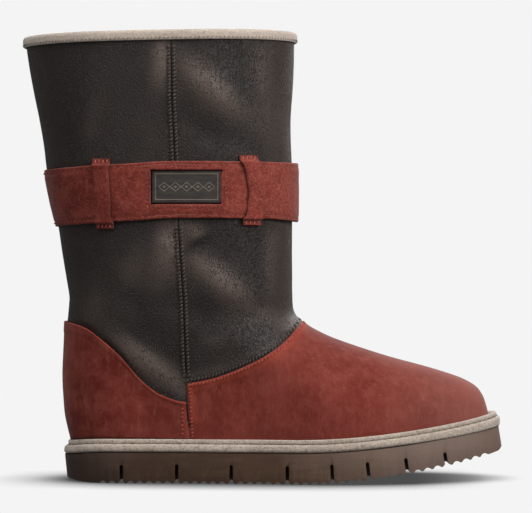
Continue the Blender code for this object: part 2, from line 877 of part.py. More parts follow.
def build_label(material):
    """Thin plate that lies in the strap's window."""
    middle = strap_place(WINDOW_PLACE)
    left = math.floor(column_at_x(middle - WINDOW_LENGTH / 2, STRAP_LEVEL)) - 1
    right = math.ceil(column_at_x(middle + WINDOW_LENGTH / 2, STRAP_LEVEL)) + 1
    sections = []
    for column in range(left, right + 1):
        sections.append(shell_section(column, strap_levels(column), GAP, GAP + LABEL_THICK))
    label = add_object("label", sweep(sections, ring=False), material)
    add_boolean(label, window_form("label_outline", GAP, material), "INTERSECT")
    return label


def build_keeper(name, place, mirrored, material):
    """Upright loop over the strap, sewn to the shaft above and below it."""
    low, high = strap_edges(column_at_x(place, STRAP_LEVEL))
    middle = (low + high) / 2
    over = STRAP_THICK + GAP
    inside = [skin(column_at_x(place, level), level, 0).z for level in strap_levels(0)[1:-1]]
    path = [
        (low - KEEPER_TAB, 0),
        (low - 2 * KEEPER_RAMP, 0),
        (low - KEEPER_RAMP, over),
        *((height, over) for height in inside),
        (high + KEEPER_RAMP, over),
        (high + 2 * KEEPER_RAMP, 0),
        (high + KEEPER_TAB, 0),
    ]
    steps = 3
    sections = []
    for height, lift in path:
        level = level_at_height(column_at_x(place, STRAP_LEVEL), height)
        start = place - KEEPER_WIDTH / 2 - KEEPER_LEAN * (height - middle)
        columns = [column_at_x(start + KEEPER_WIDTH * k / steps, level) for k in range(steps + 1)]
        if mirrored:
            columns = [AROUND - column for column in columns]
        if lift:
            lift += max(strap_slack(column) for column in columns) - GAP
        outer = [skin(column, level, GAP + lift + KEEPER_THICK) for column in columns]
        inner = [skin(column, level, GAP + lift) for column in reversed(columns)]
        sections.append(outer + inner)
    return add_object(name, sweep(sections, ring=False), material)


def build():
    clear_scene()
    leather = shaft_leather()
    suede = red_suede()
    felt = beige_felt()
    nubuck = red_nubuck()
    build_upper(leather, nubuck)
    build_insole(felt)
    build_outsole(brown_rubber())
    build_welt(felt)
    build_counter(nubuck)
    build_binding(felt)
    build_strap(suede)
    build_label(dark_plate())
    for place_name, place in KEEPER_PLACES.items():
        for side_name, mirrored in (("outer", False), ("inner", True)):
            build_keeper(f"keeper_{place_name}_{side_name}", strap_place(place), mirrored, suede)


build()
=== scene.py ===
"""A mukluk boot for the right foot, standing empty on its sole in a plain studio.

Metres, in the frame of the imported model: +Z up, toe towards +X, outer side of the foot towards -Y.
"""

import math
import random
from collections import namedtuple

import bmesh
import bpy
from mathutils import Matrix, Vector, noise
from mathutils.bvhtree import BVHTree


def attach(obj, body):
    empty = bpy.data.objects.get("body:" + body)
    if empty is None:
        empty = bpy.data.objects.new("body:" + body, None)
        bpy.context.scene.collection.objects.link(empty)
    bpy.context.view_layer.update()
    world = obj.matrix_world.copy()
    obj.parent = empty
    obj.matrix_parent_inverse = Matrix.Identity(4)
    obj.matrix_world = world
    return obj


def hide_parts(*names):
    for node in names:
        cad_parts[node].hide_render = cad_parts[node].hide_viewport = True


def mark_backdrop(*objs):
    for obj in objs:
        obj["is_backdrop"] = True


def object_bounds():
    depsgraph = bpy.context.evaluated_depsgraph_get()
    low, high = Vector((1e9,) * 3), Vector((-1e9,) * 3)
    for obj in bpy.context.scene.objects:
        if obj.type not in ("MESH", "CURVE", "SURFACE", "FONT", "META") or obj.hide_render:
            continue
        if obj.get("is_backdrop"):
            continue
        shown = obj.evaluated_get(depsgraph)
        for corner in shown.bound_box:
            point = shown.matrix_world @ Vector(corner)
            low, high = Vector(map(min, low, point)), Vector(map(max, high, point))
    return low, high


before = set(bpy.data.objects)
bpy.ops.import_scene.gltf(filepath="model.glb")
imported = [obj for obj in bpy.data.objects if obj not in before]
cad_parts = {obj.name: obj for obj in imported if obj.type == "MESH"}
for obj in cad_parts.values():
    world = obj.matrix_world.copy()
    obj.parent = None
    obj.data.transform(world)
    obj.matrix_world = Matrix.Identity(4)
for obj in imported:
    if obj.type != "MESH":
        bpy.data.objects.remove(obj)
cad_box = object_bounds()
chance = random.Random(11)


# The last. Every soft piece is shaped over it, so all of them take their places from this one form. It is a
# pile of squared ovals, the foot's from the feather line up and then the shaft's, joined by a smooth curve.

MM = 0.001
SOLE_LENGTH = 0.280
SOLE_BACK = -0.0407
SOLE_FRONT = SOLE_BACK + SOLE_LENGTH
SOLE_THICK = 0.019
FOOT_BACK = -0.0342
FOOT_LENGTH = 0.2645
HEEL_WIDTH = 0.072
BALL_WIDTH = 0.098
INSTEP_RISE = 0.087
UPPER_RISE = 0.2623
COLLAR_LENGTH = 0.1715
COLLAR_WIDTH = 0.110
SHAFT_TILT = math.radians(1.07)
GAP = 0.0003
AROUND = 44
HALF = 22
TOP = 23

# The ends are shares of the foot's length, the rises of the instep's rise, the widths at heel, waist and ball
# of the heel's and the ball's width, and the curves of the section's own length
FOOT = [
    # back, back rise, front, front rise, heel, waist, ball, back curve, front curve, square, swing
    (0.0000, 0.0, 1.0000, 0.0, 0.903, 0.735, 0.949, 0.130, 0.36, 2.30, 1.0),
    (-0.0040, 0.09655, 0.9990, 0.09655, 0.937, 0.765, 0.985, 0.130, 0.36, 2.30, 1.0),
    (-0.0113, 0.184, 0.9936, 0.170, 0.965, 0.786, 1.000, 0.135, 0.36, 2.28, 1.0),
    (-0.0185, 0.287, 0.9860, 0.233, 0.986, 0.796, 1.000, 0.140, 0.36, 2.25, 1.0),
    (-0.0212, 0.402, 0.9716, 0.301, 1.000, 0.801, 0.990, 0.145, 0.36, 2.20, 1.0),
    (-0.0229, 0.517, 0.9433, 0.371, 1.014, 0.806, 0.969, 0.150, 0.37, 2.15, 0.95),
    (-0.0231, 0.620, 0.9017, 0.443, 1.028, 0.811, 0.944, 0.165, 0.38, 2.10, 0.85),
    (-0.0222, 0.713, 0.8450, 0.525, 1.049, 0.821, 0.918, 0.180, 0.40, 2.08, 0.70),
    (-0.0210, 0.805, 0.7580, 0.631, 1.083, 0.837, 0.898, 0.210, 0.42, 2.05, 0.50),
    (-0.0197, 0.885, 0.6635, 0.752, 1.125, 0.857, 0.888, 0.250, 0.43, 2.05, 0.30),
    (-0.0183, 0.948, 0.5917, 0.854, 1.167, 0.878, 0.893, 0.290, 0.42, 2.05, 0.15),
    (-0.0170, 1.000, 0.5463, 0.938, 1.200, 0.893, 0.898, 0.330, 0.41, 2.05, 0.05),
    (-0.0152, 1.069, 0.5282, 1.017, 1.230, 0.903, 0.903, 0.360, 0.40, 2.05, 0.0),
]
SHAFT = [
    # rise, front, length, width, curve
    (0.379, 0.5251, 0.8327, 0.818, 0.38),
    (0.420, 0.5251, 0.8420, 0.827, 0.39),
    (0.477, 0.5242, 0.8542, 0.845, 0.40),
    (0.550, 0.5240, 0.8711, 0.873, 0.40),
    (0.612, 0.5240, 0.8927, 0.900, 0.40),
    (0.675, 0.5236, 0.9108, 0.927, 0.40),
    (0.742, 0.5214, 0.9201, 0.945, 0.40),
    (0.802, 0.5214, 0.9364, 0.964, 0.40),
    (0.870, 0.5262, 0.9650, 0.982, 0.40),
    (0.934, 0.5282, 0.9854, 0.991, 0.40),
    (1.000, 0.5292, 1.0000, 1.000, 0.40),
]
Section = namedtuple(
    "Section", "back back_rise front front_rise heel waist ball back_curve front_curve square swing"
)

SECTIONS = []
for back, back_rise, front, front_rise, heel, waist, ball, *rest in FOOT:
    ends = (FOOT_BACK + back * FOOT_LENGTH, GAP + back_rise * INSTEP_RISE)
    ends += (FOOT_BACK + front * FOOT_LENGTH, GAP + front_rise * INSTEP_RISE)
    SECTIONS.append((*ends, heel * HEEL_WIDTH, waist * BALL_WIDTH, ball * BALL_WIDTH, *rest))
for rise, front, length, width, curve in SHAFT:
    front_x = FOOT_BACK + front * FOOT_LENGTH
    tilt = math.tan(SHAFT_TILT) * length * COLLAR_LENGTH / 2
    ends = (front_x - length * COLLAR_LENGTH, rise * UPPER_RISE - tilt, front_x, rise * UPPER_RISE + tilt)
    SECTIONS.append((*ends, *[width * COLLAR_WIDTH] * 3, curve, curve, 2.05, 0.0))


def share_along(value, start, end):
    return min(max((value - start) / (end - start), 0.0), 1.0)


def ease(share):
    return share * share * (3 - 2 * share)


def mix(a, b, share):
    return a + (b - a) * share


def heel_dip(x):
    return 2.8 * MM * (1 - share_along(x, SOLE_BACK, SOLE_BACK + 0.030)) ** 2


def sole_top(x):
    """Height of the sole's top face."""
    spring = SOLE_BACK + 0.51 * SOLE_LENGTH
    return SOLE_THICK + 0.0165 * max((x - spring) / (SOLE_FRONT - spring), 0.0) ** 1.9 - heel_dip(x)


def curve_pull(t):
    """Weights of four neighbours on a smooth curve, a share t of the way from the second to the third."""
    square, cube = t * t, t**3
    middle = 1 - 2.5 * square + 1.5 * cube, t / 2 + 2 * square - 1.5 * cube
    return -t / 2 + square - cube / 2, *middle, (cube - square) / 2


known_sections = {}


def section_at(level):
    """The oval at a level between two rows of the tables."""
    if level not in known_sections:
        below = min(max(math.floor(level), 0), TOP - 1)
        rows = [SECTIONS[min(max(below + k, 0), TOP)] for k in (-1, 0, 1, 2)]
        pull = curve_pull(level - below)
        known_sections[level] = Section(*(sum(w * v for w, v in zip(pull, values)) for values in zip(*rows)))
    return known_sections[level]


def last(column, level):
    """Point of the last. Columns run from the back by the outer side to the front at 22, and home at 44."""
    section = section_at(level)
    column = column % AROUND
    step = column if column <= HALF else AROUND - column
    power = 2 / section.square
    share, across = mix(section.back_curve, 1 - section.front_curve, share_along(step, 7, 14)), 1.0
    if step < 7:
        angle = step / 7 * math.pi / 2
        share = section.back_curve * (1 - max(math.cos(angle), 0.0) ** power)
        across = math.sin(angle) ** power
    elif step > 14:
        angle = (step - 14) / 8 * math.pi / 2
        share = 1 - section.front_curve * (1 - math.sin(angle) ** power)
        across = max(math.cos(angle), 0.0) ** power
    width = mix(section.heel, section.waist, ease(share_along(share, 0.14, 0.40)))
    if share > 0.40:
        width = mix(section.waist, section.ball, ease(share_along(share, 0.40, 0.66)))
    arch = math.sin(math.pi * share_along(share, 0.14, 0.85)) ** 2
    swing = section.swing * (0.008 * ease(share_along(share, 0.55, 1.0)) - 0.0035 * arch)
    x = mix(section.back, section.front, share)
    rise = mix(section.back_rise, section.front_rise, share)
    side = -1 if column <= HALF else 1
    z = sole_top(x) + rise + share_along(rise, 0, INSTEP_RISE) * heel_dip(x)
    return Vector((x, swing + side * across * width / 2, z))


def out_of_last(column, level):
    """Direction straight out of the last."""
    step = 0.08
    low, high = max(level - step, 0), min(level + step, TOP)
    along = last(column + step, level) - last(column - step, level)
    return along.cross(last(column, high) - last(column, low)).normalized()


def over(column, level, distance):
    """Point at a distance outside the last."""
    return last(column, level) + out_of_last(column, level) * distance


# Shaft and vamp. The shaft is dark waxed leather in two halves with a seam up each side. The vamp is one piece
# of red nubuck, whose turned edge is whipped to the shaft over the instep and down the side. Both are pulled
# over the last together, so the leather keeps soft folds at the ankle and over the heel.

LEATHER = 1.4 * MM
VAMP_START = Vector((38.1 * MM, 62.5 * MM))
VAMP_FOOT = Vector((40.6 * MM, 10 * MM))
VAMP_CURVE = [
    (38.1, 62.5), (54.7, 65.9), (70.8, 71.8), (85.8, 79.1), (96.8, 86.6), (105.5, 95.1), (112.5, 103.5),
    (121.0, 116.0),
]
# Height and place of the side seam in mm
SIDE_SEAM = [
    (62.0, 38.1), (87.0, 37.0), (115.0, 36.1), (140.0, 34.3), (162.0, 33.0), (208.0, 30.6), (239.0, 29.2),
    (285.0, 28.6),
]

# Folds of the leather, seen from the outer side: middle, half length, half width, lean and height in mm
Fold = namedtuple("Fold", "x z length width lean height")
FOLDS = [Fold(*fold) for fold in (
    (22, 262, 17, 6, 82, 1.8),
    (53.5, 246.5, 25, 8.5, -42, 2.3),
    (49, 219, 20, 7, -30, -0.9),
    (86, 246, 30, 7, -84, 0.8),
    (-22, 222, 24, 7, 82, 0.6),
    (0, 240, 22, 8, 88, -0.8),
    (25.5, 147, 20, 8, 80, 2.0),
    (43.5, 158, 8, 5, -30, 1.5),
    (45.5, 148.5, 11, 3.2, 33, -1.4),
    (56, 128.5, 23, 8, -39, 2.3),
    (84, 107, 14, 6, -35, 0.35),
    (91, 140, 24, 5, 88, 0.7),
    (56, 90, 9, 6, 20, 0.8),
    (46, 104, 22, 7, -36, -1.0),
    (3, 131, 18, 8, 70, 0.7),
    (8, 105, 22, 8, -60, -0.9),
    (13, 75.5, 27, 7.5, -37, 2.5),
    (-22, 108, 18, 7, 80, 0.6),
)]

# Height of the leather beside its seams, as (distance, height) in mm
SIDE_PROFILE = [
    (-6, 0), (-3.2, -0.1), (-1.6, 0.2), (-0.7, 0.15), (0, -0.55), (0.7, 0.15), (1.6, 0.2), (3.2, -0.1), (6, 0)
]
VAMP_PROFILE = [
    (-7, 0), (-4, 0.15), (-2.4, 0.2), (-1.0, 0.0), (-0.3, -0.5), (0.3, 0.2), (0.9, 0.75), (2.0, 0.8),
    (3.4, 0.35), (7, 0),
]
# Where the strap presses the folds flat, and the collar's edge: a point of it in the side view and its slope
STRAP_PRESS = 181.5 * MM
COLLAR_EDGE = Vector((0.020, 0.2813))
COLLAR_SLOPE = 0.0187
COUNTER_END = 45 * MM


def wrapped(columns, rows, place):
    """A sheet of quads with each corner moved to place(column, row), closed where its edges meet."""
    bm = bmesh.new()
    wide, high = len(columns) - 1, len(rows) - 1
    bmesh.ops.create_grid(bm, x_segments=wide, y_segments=high, size=0.5)
    for vertex in bm.verts:
        column = columns[round((vertex.co.x + 0.5) * wide)]
        vertex.co = place(column, rows[round((vertex.co.y + 0.5) * high)])
    bmesh.ops.remove_doubles(bm, verts=bm.verts, dist=0.005 * MM)
    return bm


def cut_along(bm, distance_to, distances, where=lambda point: True):
    """New edges along the lines at these distances from a line on the sheet."""
    known = {vertex: distance_to(vertex.co) for vertex in bm.verts if where(vertex.co)}
    for wanted in distances:
        away = {vertex: distance - wanted for vertex, distance in known.items()}
        on_line = set()
        crossing = []
        for edge in bm.edges:
            first, second = edge.verts
            if first not in away or second not in away or away[first] * away[second] >= 0:
                continue
            share = away[first] / (away[first] - away[second])
            near = first if share < 0.12 else second if share > 0.88 else None
            if near:
                near.co = first.co.lerp(second.co, share)
                away[near] = 0.0
                known[near] = wanted
                on_line.add(near)
            else:
                crossing.append(edge)
        for edge in crossing:
            first, second = edge.verts
            if away[first] * away[second] < 0:
                share = away[first] / (away[first] - away[second])
                fresh = bmesh.utils.edge_split(edge, first, share)[1]
                known[fresh] = wanted
                on_line.add(fresh)
        bmesh.ops.connect_verts(bm, verts=list(on_line))


def profile_height(profile, distance):
    """Height of a profile given as (distance, height) points, eased between them."""
    for (low, first), (high, second) in zip(profile, profile[1:]):
        if low <= distance <= high:
            return mix(first, second, ease((distance - low) / (high - low)))
    return 0.0


def smooth_line(points, steps=6):
    """More points on a smooth curve through the given ones in mm, in metres."""
    line = []
    for k in range(len(points) - 1):
        four = [Vector(points[min(max(k + n, 0), len(points) - 1)]) for n in (-1, 0, 1, 2)]
        for step in range(steps):
            pull = curve_pull(step / steps)
            line.append(sum((point * w for point, w in zip(four, pull)), Vector((0, 0))) * MM)
    return line + [Vector(points[-1]) * MM]


VAMP_LINE = smooth_line(VAMP_CURVE)


def side_seam(height):
    """Place of the side seam along the foot at a height."""
    height = height / MM
    for (low, first), (high, second) in zip(SIDE_SEAM, SIDE_SEAM[1:]):
        if height <= high:
            return mix(first, second, share_along(height, low, high)) * MM
    return SIDE_SEAM[-1][1] * MM


def beside_side_seam(point):
    return point.x - side_seam(point.z)


def beside_vamp_seam(point):
    """Distance from the vamp's seam seen from the side, above 0 on the vamp."""
    spot = Vector((point.x, point.z))
    if spot.x < 0.020 or (spot.y - 0.125) > (spot.x - 0.038) * 0.9:
        return -0.03
    if spot.x > 0.140 or spot.x - 0.060 > (spot.y - 0.045) * 2.4:
        return 0.03
    nearest, sign = 1.0, 1
    for first, second in zip([VAMP_FOOT, *VAMP_LINE], VAMP_LINE):
        along = second - first
        share = min(max((spot - first).dot(along) / along.length_squared, 0), 1)
        away = spot - (first + along * share)
        if away.length < nearest - 1e-9:
            nearest = away.length
            sign = -1 if along.x * away.y - along.y * away.x > 0 else 1
    return nearest * sign


def above_vamp(point):
    return point.z > VAMP_START.y + 3 * MM


def folded(point):
    """How far the leather's folds stand out of the last here."""
    strap = 1 - share_along(abs(point.z - STRAP_PRESS), 0.022, 0.034)
    counter = share_along(point.z - counter_edge(point.x), 0.0, 0.0028) if point.x < COUNTER_END else 1.0
    seam = share_along(abs(beside_side_seam(point)), -0.003, 0.009)
    flip = 1.0 if point.y < 0 else 0.8
    ripple = noise.noise(Vector((point.x * 26, point.y * 26, point.z * 15))) * 0.45
    ripple += noise.noise(Vector((point.x * 60, point.y * 60, point.z * 34 + 5))) * 0.2
    under_collar = COLLAR_EDGE.y + COLLAR_SLOPE * (point.x - COLLAR_EDGE.x) - point.z
    collar = share_along(under_collar, 0.006, 0.016)
    free = ease(1 - strap) * ease(counter) * ease(collar)
    return (fold_height(point) * flip * ease(seam) + ripple) * free * MM


def fold_height(point):
    """Sum of the folds at a point, in mm."""
    height = 0.0
    shift = 0 if point.y < 0 else 4
    for fold in FOLDS:
        lean = math.radians(fold.lean)
        x, z = point.x / MM - fold.x + shift, point.z / MM - fold.z + shift
        along = (x * math.cos(lean) + z * math.sin(lean)) / fold.length
        across = (z * math.cos(lean) - x * math.sin(lean)) / fold.width
        height += fold.height * math.exp(-(along**2) - across**2)
    return height


COUNTER_LINE = smooth_line([
    (-60, 101.5), (-41, 101.1), (-25, 97.3), (-14.2, 89.5), (-3.2, 79.5), (7.4, 67.0), (18.3, 57.6),
    (29, 52.9), (38, 51.0), (60, 49.5),
])


def counter_edge(x):
    """Height of the heel counter's top edge."""
    for low, high in zip(COUNTER_LINE, COUNTER_LINE[1:]):
        if x <= high.x:
            return mix(low.y, high.y, share_along(x, low.x, high.x))
    return COUNTER_LINE[-1].y


COLUMNS = [k / 6 for k in range(6 * AROUND + 1)]
ROWS = [k / 4 for k in range(49)] + [12 + k / 8 for k in range(1, 89)]

skin = wrapped(COLUMNS, ROWS, last)
cut_along(skin, beside_vamp_seam, [distance * MM for distance, _ in VAMP_PROFILE] + [0.0])
cut_along(skin, beside_side_seam, [distance * MM for distance, _ in SIDE_PROFILE], above_vamp)
skin.normal_update()
moves = {}
for vertex in skin.verts:
    spot = vertex.co.copy()
    vamp_side = beside_vamp_seam(spot) / MM
    on_shaft = share_along(spot.z, VAMP_START.y + 1 * MM, VAMP_START.y + 9 * MM)
    height = profile_height(VAMP_PROFILE, vamp_side) * MM
    if vamp_side < 0.01:
        height += folded(spot) * share_along(-vamp_side, 1, 9)
        height += profile_height(SIDE_PROFILE, beside_side_seam(spot) / MM) * MM * on_shaft
    else:
        height += 0.35 * MM * noise.noise(Vector(spot) * 42) * share_along(vamp_side, 3, 12)
    moves[vertex] = vertex.normal * height
for vertex, move in moves.items():
    vertex.co += move

leather_skin = BVHTree.FromBMesh(skin)
shaft_sheet, vamp_sheet = skin.copy(), skin
for sheet, keep_vamp in ((shaft_sheet, False), (vamp_sheet, True)):
    other = [face for face in sheet.faces if (beside_vamp_seam(face.calc_center_median()) > 0) != keep_vamp]
    bmesh.ops.delete(sheet, geom=other, context="FACES")


def paint(red, green, blue):
    """A screen colour of 0 to 255 in linear light."""
    return tuple(((c / 255 + 0.055) / 1.055) ** 2.4 if c > 10 else c / 3295 for c in (red, green, blue))


def join(tree, value, end):
    """Puts a number, a colour or another node's output into a socket."""
    if isinstance(value, Wire):
        tree.links.new(value.socket, end)
    elif end.type == "RGBA":
        end.default_value = (*value, 1.0)
    else:
        end.default_value = value


class Wire:
    """A value that varies over a surface, with the arithmetic that the finishes need."""

    def __init__(self, tree, socket):
        self.tree = tree
        self.socket = socket

    def maths(self, operation, first, second=0.0, clamp=False):
        node = self.tree.nodes.new("ShaderNodeMath")
        node.operation = operation
        node.use_clamp = clamp
        join(self.tree, first, node.inputs[0])
        join(self.tree, second, node.inputs[1])
        return Wire(self.tree, node.outputs[0])

    def __add__(self, other):
        return self.maths("ADD", self, other)

    def __sub__(self, other):
        return self.maths("SUBTRACT", self, other)

    def __mul__(self, other):
        return self.maths("MULTIPLY", self, other)

    def __pow__(self, other):
        return self.maths("POWER", self, other)

    def __radd__(self, other):
        return self.maths("ADD", other, self)

    def __rsub__(self, other):
        return self.maths("SUBTRACT", other, self)

    def __abs__(self):
        return self.maths("ABSOLUTE", self)

    def below(self, edge, soft):
        """1 where the value is under the edge, 0 where it is over, soft between."""
        return self.maths("MULTIPLY", edge - self, 1 / soft, clamp=True)

    def within(self, low, high):
        """0 at low, 1 at high, clamped."""
        return self.maths("MULTIPLY", self - low, 1 / (high - low), clamp=True)


class Finish:
    """A material as its nodes are put together. Thread takes the slot of what it sews, the rest their own."""

    def __init__(self, name, slot="", **constants):
        self.slot = slot or name
        self.material = bpy.data.materials.new(name)
        self.material.use_nodes = True
        self.tree = self.material.node_tree
        self.shader = self.tree.nodes["Principled BSDF"]
        self.place = self.node("TexCoord", output="Object")
        for socket, value in constants.items():
            join(self.tree, value, self.shader.inputs[socket.replace("_", " ")])

    def node(self, kind, settings=(), ends=(), output=0):
        node = self.tree.nodes.new("ShaderNode" + kind)
        for name, value in dict(settings).items():
            setattr(node, name, value)
        for name, value in dict(ends).items():
            join(self.tree, value, node.inputs[name])
        return Wire(self.tree, node.outputs[output])

    def axis(self, name):
        """Place along one axis of the frame, in metres."""
        return self.node("SeparateXYZ", {}, {"Vector": self.place}, name)

    def stretched(self, stretch, turn):
        """The place on the surface, stretched and turned for a pattern."""
        return self.node("Mapping", {}, {"Vector": self.place, "Scale": stretch, "Rotation": turn})

    def noise(self, scale, detail=3.0, rough=0.55, stretch=(1, 1, 1), turn=(0, 0, 0)):
        """Cloudy pattern with this many clouds to the metre."""
        ends = {"Vector": self.stretched(stretch, turn), "Scale": scale, "Detail": detail, "Roughness": rough}
        return self.node("TexNoise", {}, ends, "Fac")

    def cells(self, scale, stretch, turn):
        """Distance from the edges of the cells, such as the pebbles of a grain."""
        ends = {"Vector": self.stretched(stretch, turn), "Scale": scale}
        return self.node("TexVoronoi", {"feature": "DISTANCE_TO_EDGE"}, ends, "Distance")

    def repeated(self, value, length):
        """Distance from the nearest of the places that lie this far apart."""
        return self.node("Math", {"operation": "PINGPONG"}, {0: value, 1: length / 2})

    def note(self, name):
        """The number that was written on the sheet under this name."""
        return self.node("Attribute", {"attribute_name": name}, output="Fac")

    def blend(self, mask, first, second):
        """One colour where the mask is 0, the other where it is 1."""
        return self.node("Mix", {"data_type": "RGBA"}, {0: mask, 6: first, 7: second}, 2)

    def coats(self, ground, *coats):
        """Screen colours laid one over the other, each where its mask is."""
        colour = paint(*ground)
        for mask, coat in coats:
            colour = self.blend(mask, colour, paint(*coat))
        return colour

    def finish(self, colour, roughness, height, depth):
        """Feeds the shader: its colour, its roughness, and a relief of this depth in metres."""
        join(self.tree, colour, self.shader.inputs["Base Color"])
        join(self.tree, roughness, self.shader.inputs["Roughness"])
        relief = self.node("Bump", {}, {"Distance": depth, "Height": height}, "Normal")
        join(self.tree, relief, self.shader.inputs["Normal"])


leather = Finish("shaft_leather", Specular_IOR_Level=0.4)
clouds = leather.noise(26, 4.0, 0.6, (1, 1, 0.6))
grain = leather.cells(760, (1, 1, 0.55), (0, 0.20, 0))
wrinkles = leather.noise(560, 4.0, 0.68, (1, 1, 0.50), (0, 0.20, 0))
creases = (1 - grain.within(0.0, 0.16)) * wrinkles.within(0.40, 0.60)
# The light coat is painted highlight, laid where the highlight note is high: on the folds, down the front and
# beside the vamp seam.
highlight_note = leather.note("highlight_note")
painted_highlight = (highlight_note + (clouds - 0.5) * 0.35 + (wrinkles - 0.5) * 0.5).within(0.0, 1.0)
seam_shade = 1 - abs(leather.note("seam")).within(0.05, 0.75)
browns = leather.coats(
    (24, 15, 11), (clouds.within(0.3, 0.7), (38, 27, 21)), (painted_highlight * 0.95, (90, 76, 69)),
    (creases * 0.75, (13, 9, 7)), (seam_shade * 0.65, (10, 7, 6)),
)
leather.finish(browns, 0.46 + clouds * 0.12 + creases * 0.25, wrinkles * 1.2 - creases * 0.9, 0.50 * MM)

nubuck = Finish("red_nubuck", Sheen_Weight=0.10, Sheen_Roughness=0.4, Specular_IOR_Level=0.12)
drifts = nubuck.noise(19, 5.0, 0.62)
mottle = nubuck.noise(100, 5.0, 0.68)
nap = nubuck.noise(1500, 3.0, 0.7)
strokes = nubuck.noise(330, 4.0, 0.7, (1, 1, 0.32), (0, -0.5, 0))
hem = nubuck.note("hem")
# Lighter towards the toe: the drift there is partly the nubuck's own tone and partly painted light, and the toe
# coat is painted sheen where the lamp falls on the toe.
toe_tone_and_light = nubuck.axis("X").within(0.06, 0.23)
toe_painted_sheen = nubuck.axis("X").within(0.155, 0.225)
reds = nubuck.coats(
    (90, 28, 20), ((drifts + toe_tone_and_light * 0.10).within(0.34, 0.72), (126, 57, 47)),
    (mottle.within(0.42, 0.70) * 0.45, (144, 76, 66)), (strokes.within(0.52, 0.70) * 0.25, (160, 96, 84)),
    (toe_painted_sheen * 0.50, (146, 96, 86)), (nap.within(0.35, 0.65) * 0.30, (84, 28, 21)),
    (hem * 0.30, (170, 72, 54)),
)
nubuck.finish(reds, 0.80 + mottle * 0.15, nap * 0.45 + mottle * 0.5 + strokes * 0.5, 0.26 * MM)


def make_piece(name, bm, finish, *nodes):
    """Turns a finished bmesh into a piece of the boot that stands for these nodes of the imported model."""
    material, slot = finish.material, finish.slot
    mesh = bpy.data.meshes.new(name)
    bm.to_mesh(mesh)
    bm.free()
    mesh.materials.append(material)
    mesh.shade_smooth()
    piece = bpy.data.objects.new(name, mesh)
    bpy.context.scene.collection.objects.link(piece)
    if nodes:
        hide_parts(*nodes)
    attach(piece, "root")
    return piece


def thicken(piece, thickness, rounding=0.0):
    """Gives a sheet its thickness, inwards from its outer face, and rounds its edges."""
    solidify = piece.modifiers.new("thickness", "SOLIDIFY")
    solidify.thickness = thickness
    solidify.offset = -1
    if rounding:
        bevel = piece.modifiers.new("rounding", "BEVEL")
        bevel.width = rounding
        bevel.segments = 2
        bevel.limit_method = "ANGLE"
        bevel.angle_limit = math.radians(50)


def note_on_sheet(piece, name, value_at):
    """Writes a number on each vertex for the finish to read."""
    mesh = piece.data
    values = mesh.attributes.new(name, "FLOAT", "POINT")
    for vertex in mesh.vertices:
        values.data[vertex.index].value = value_at(vertex.co)


shaft = make_piece("leather_shaft", shaft_sheet, leather, "shaft")


def seam_distance(point):
    """Distance in mm from the nearer of the two seams."""
    side = abs(beside_side_seam(point)) if above_vamp(point) else 1.0
    return min(side, abs(beside_vamp_seam(point))) / MM


def painted_highlight_share(point):
    """How much painted highlight is laid here: on the folds, down the front and beside the seams, fading
    towards the back.
    """
    front = 0.42 * share_along(last_front(point.z) - point.x, 0.022, 0.002) if point.z > 95 * MM else 0.0
    above_seam = 0.22 * math.exp(-(((beside_vamp_seam(point) / MM + 4.5) / 3.5) ** 2))
    height = fold_height(point) * (1.0 if point.y < 0 else 0.6)
    edge = share_along(point.z - counter_edge(point.x), 0.0012, 0.0045) if point.x < COUNTER_END else 1.0
    return (0.52 * height * edge + front + above_seam) * share_along(point.x, -0.05, 0.0) ** 0.5


def last_front(height):
    """Place of the front of the shaft at a height."""
    return last(HALF, min(max(12 + (height - 0.10) / 0.0166, 11), TOP)).x


note_on_sheet(shaft, "seam", seam_distance)
note_on_sheet(shaft, "highlight_note", painted_highlight_share)
thicken(shaft, LEATHER)
vamp = make_piece("nubuck_vamp", vamp_sheet, nubuck, "vamp")
note_on_sheet(vamp, "hem", lambda point: 1 - share_along(beside_vamp_seam(point) / MM, 3.4, 4.6))
thicken(vamp, LEATHER)


# Stitches. All rows are sewn by hand with waxed thread: each stitch is a short thick bead of thread that lies
# slanted over its edge. One row of them is one piece.

BEAD_SIDES, BEAD_RINGS = 6, 4


def sew(name, finish, stitches, length, width, lift=0.0):
    """A row of stitches, each given as a spot, the way out of the surface and the stitch's direction."""
    bm = bmesh.new()
    length, width = length * MM, width * MM
    for spot, out, along in stitches:
        along = (along - out * along.dot(out)).normalized()
        across = out.cross(along)
        turn = Matrix((along * length / 2, across * width / 2, out * width * 0.42)).transposed().to_4x4()
        place = Matrix.Translation(spot + out * lift * MM) @ turn @ Matrix.Rotation(math.pi / 2, 4, "Y")
        bmesh.ops.create_uvsphere(bm, u_segments=BEAD_SIDES, v_segments=BEAD_RINGS, radius=1.0, matrix=place)
    make_piece(name, bm, finish)


def on_skin(skin, x, z, side):
    """Point and way out on a finished sheet where a line across the boot meets it from this side."""
    spot, out, _, _ = skin.ray_cast(Vector((x, side * 0.2, z)), Vector((0, -side, 0)))
    return spot, out


def steps(start, end, pitch):
    """Places at a pitch from a start to an end."""
    while start < end:
        yield start
        start += pitch


def thread(name, slot, dark, light, roughness=0.6):
    """Waxed thread with its twist."""
    finish = Finish(name, slot, Specular_IOR_Level=0.4)
    twist = finish.noise(1400, 2.0, 0.6)
    colour = finish.coats(dark, (twist.within(0.35, 0.65), light))
    finish.finish(colour, roughness + twist * 0.2, twist, 0.1 * MM)
    return finish


brown_thread = thread("brown_thread", "shaft_leather", (34, 26, 21), (84, 72, 64), 0.5)
red_thread = thread("red_thread", "red_nubuck", (92, 34, 26), (176, 82, 64))

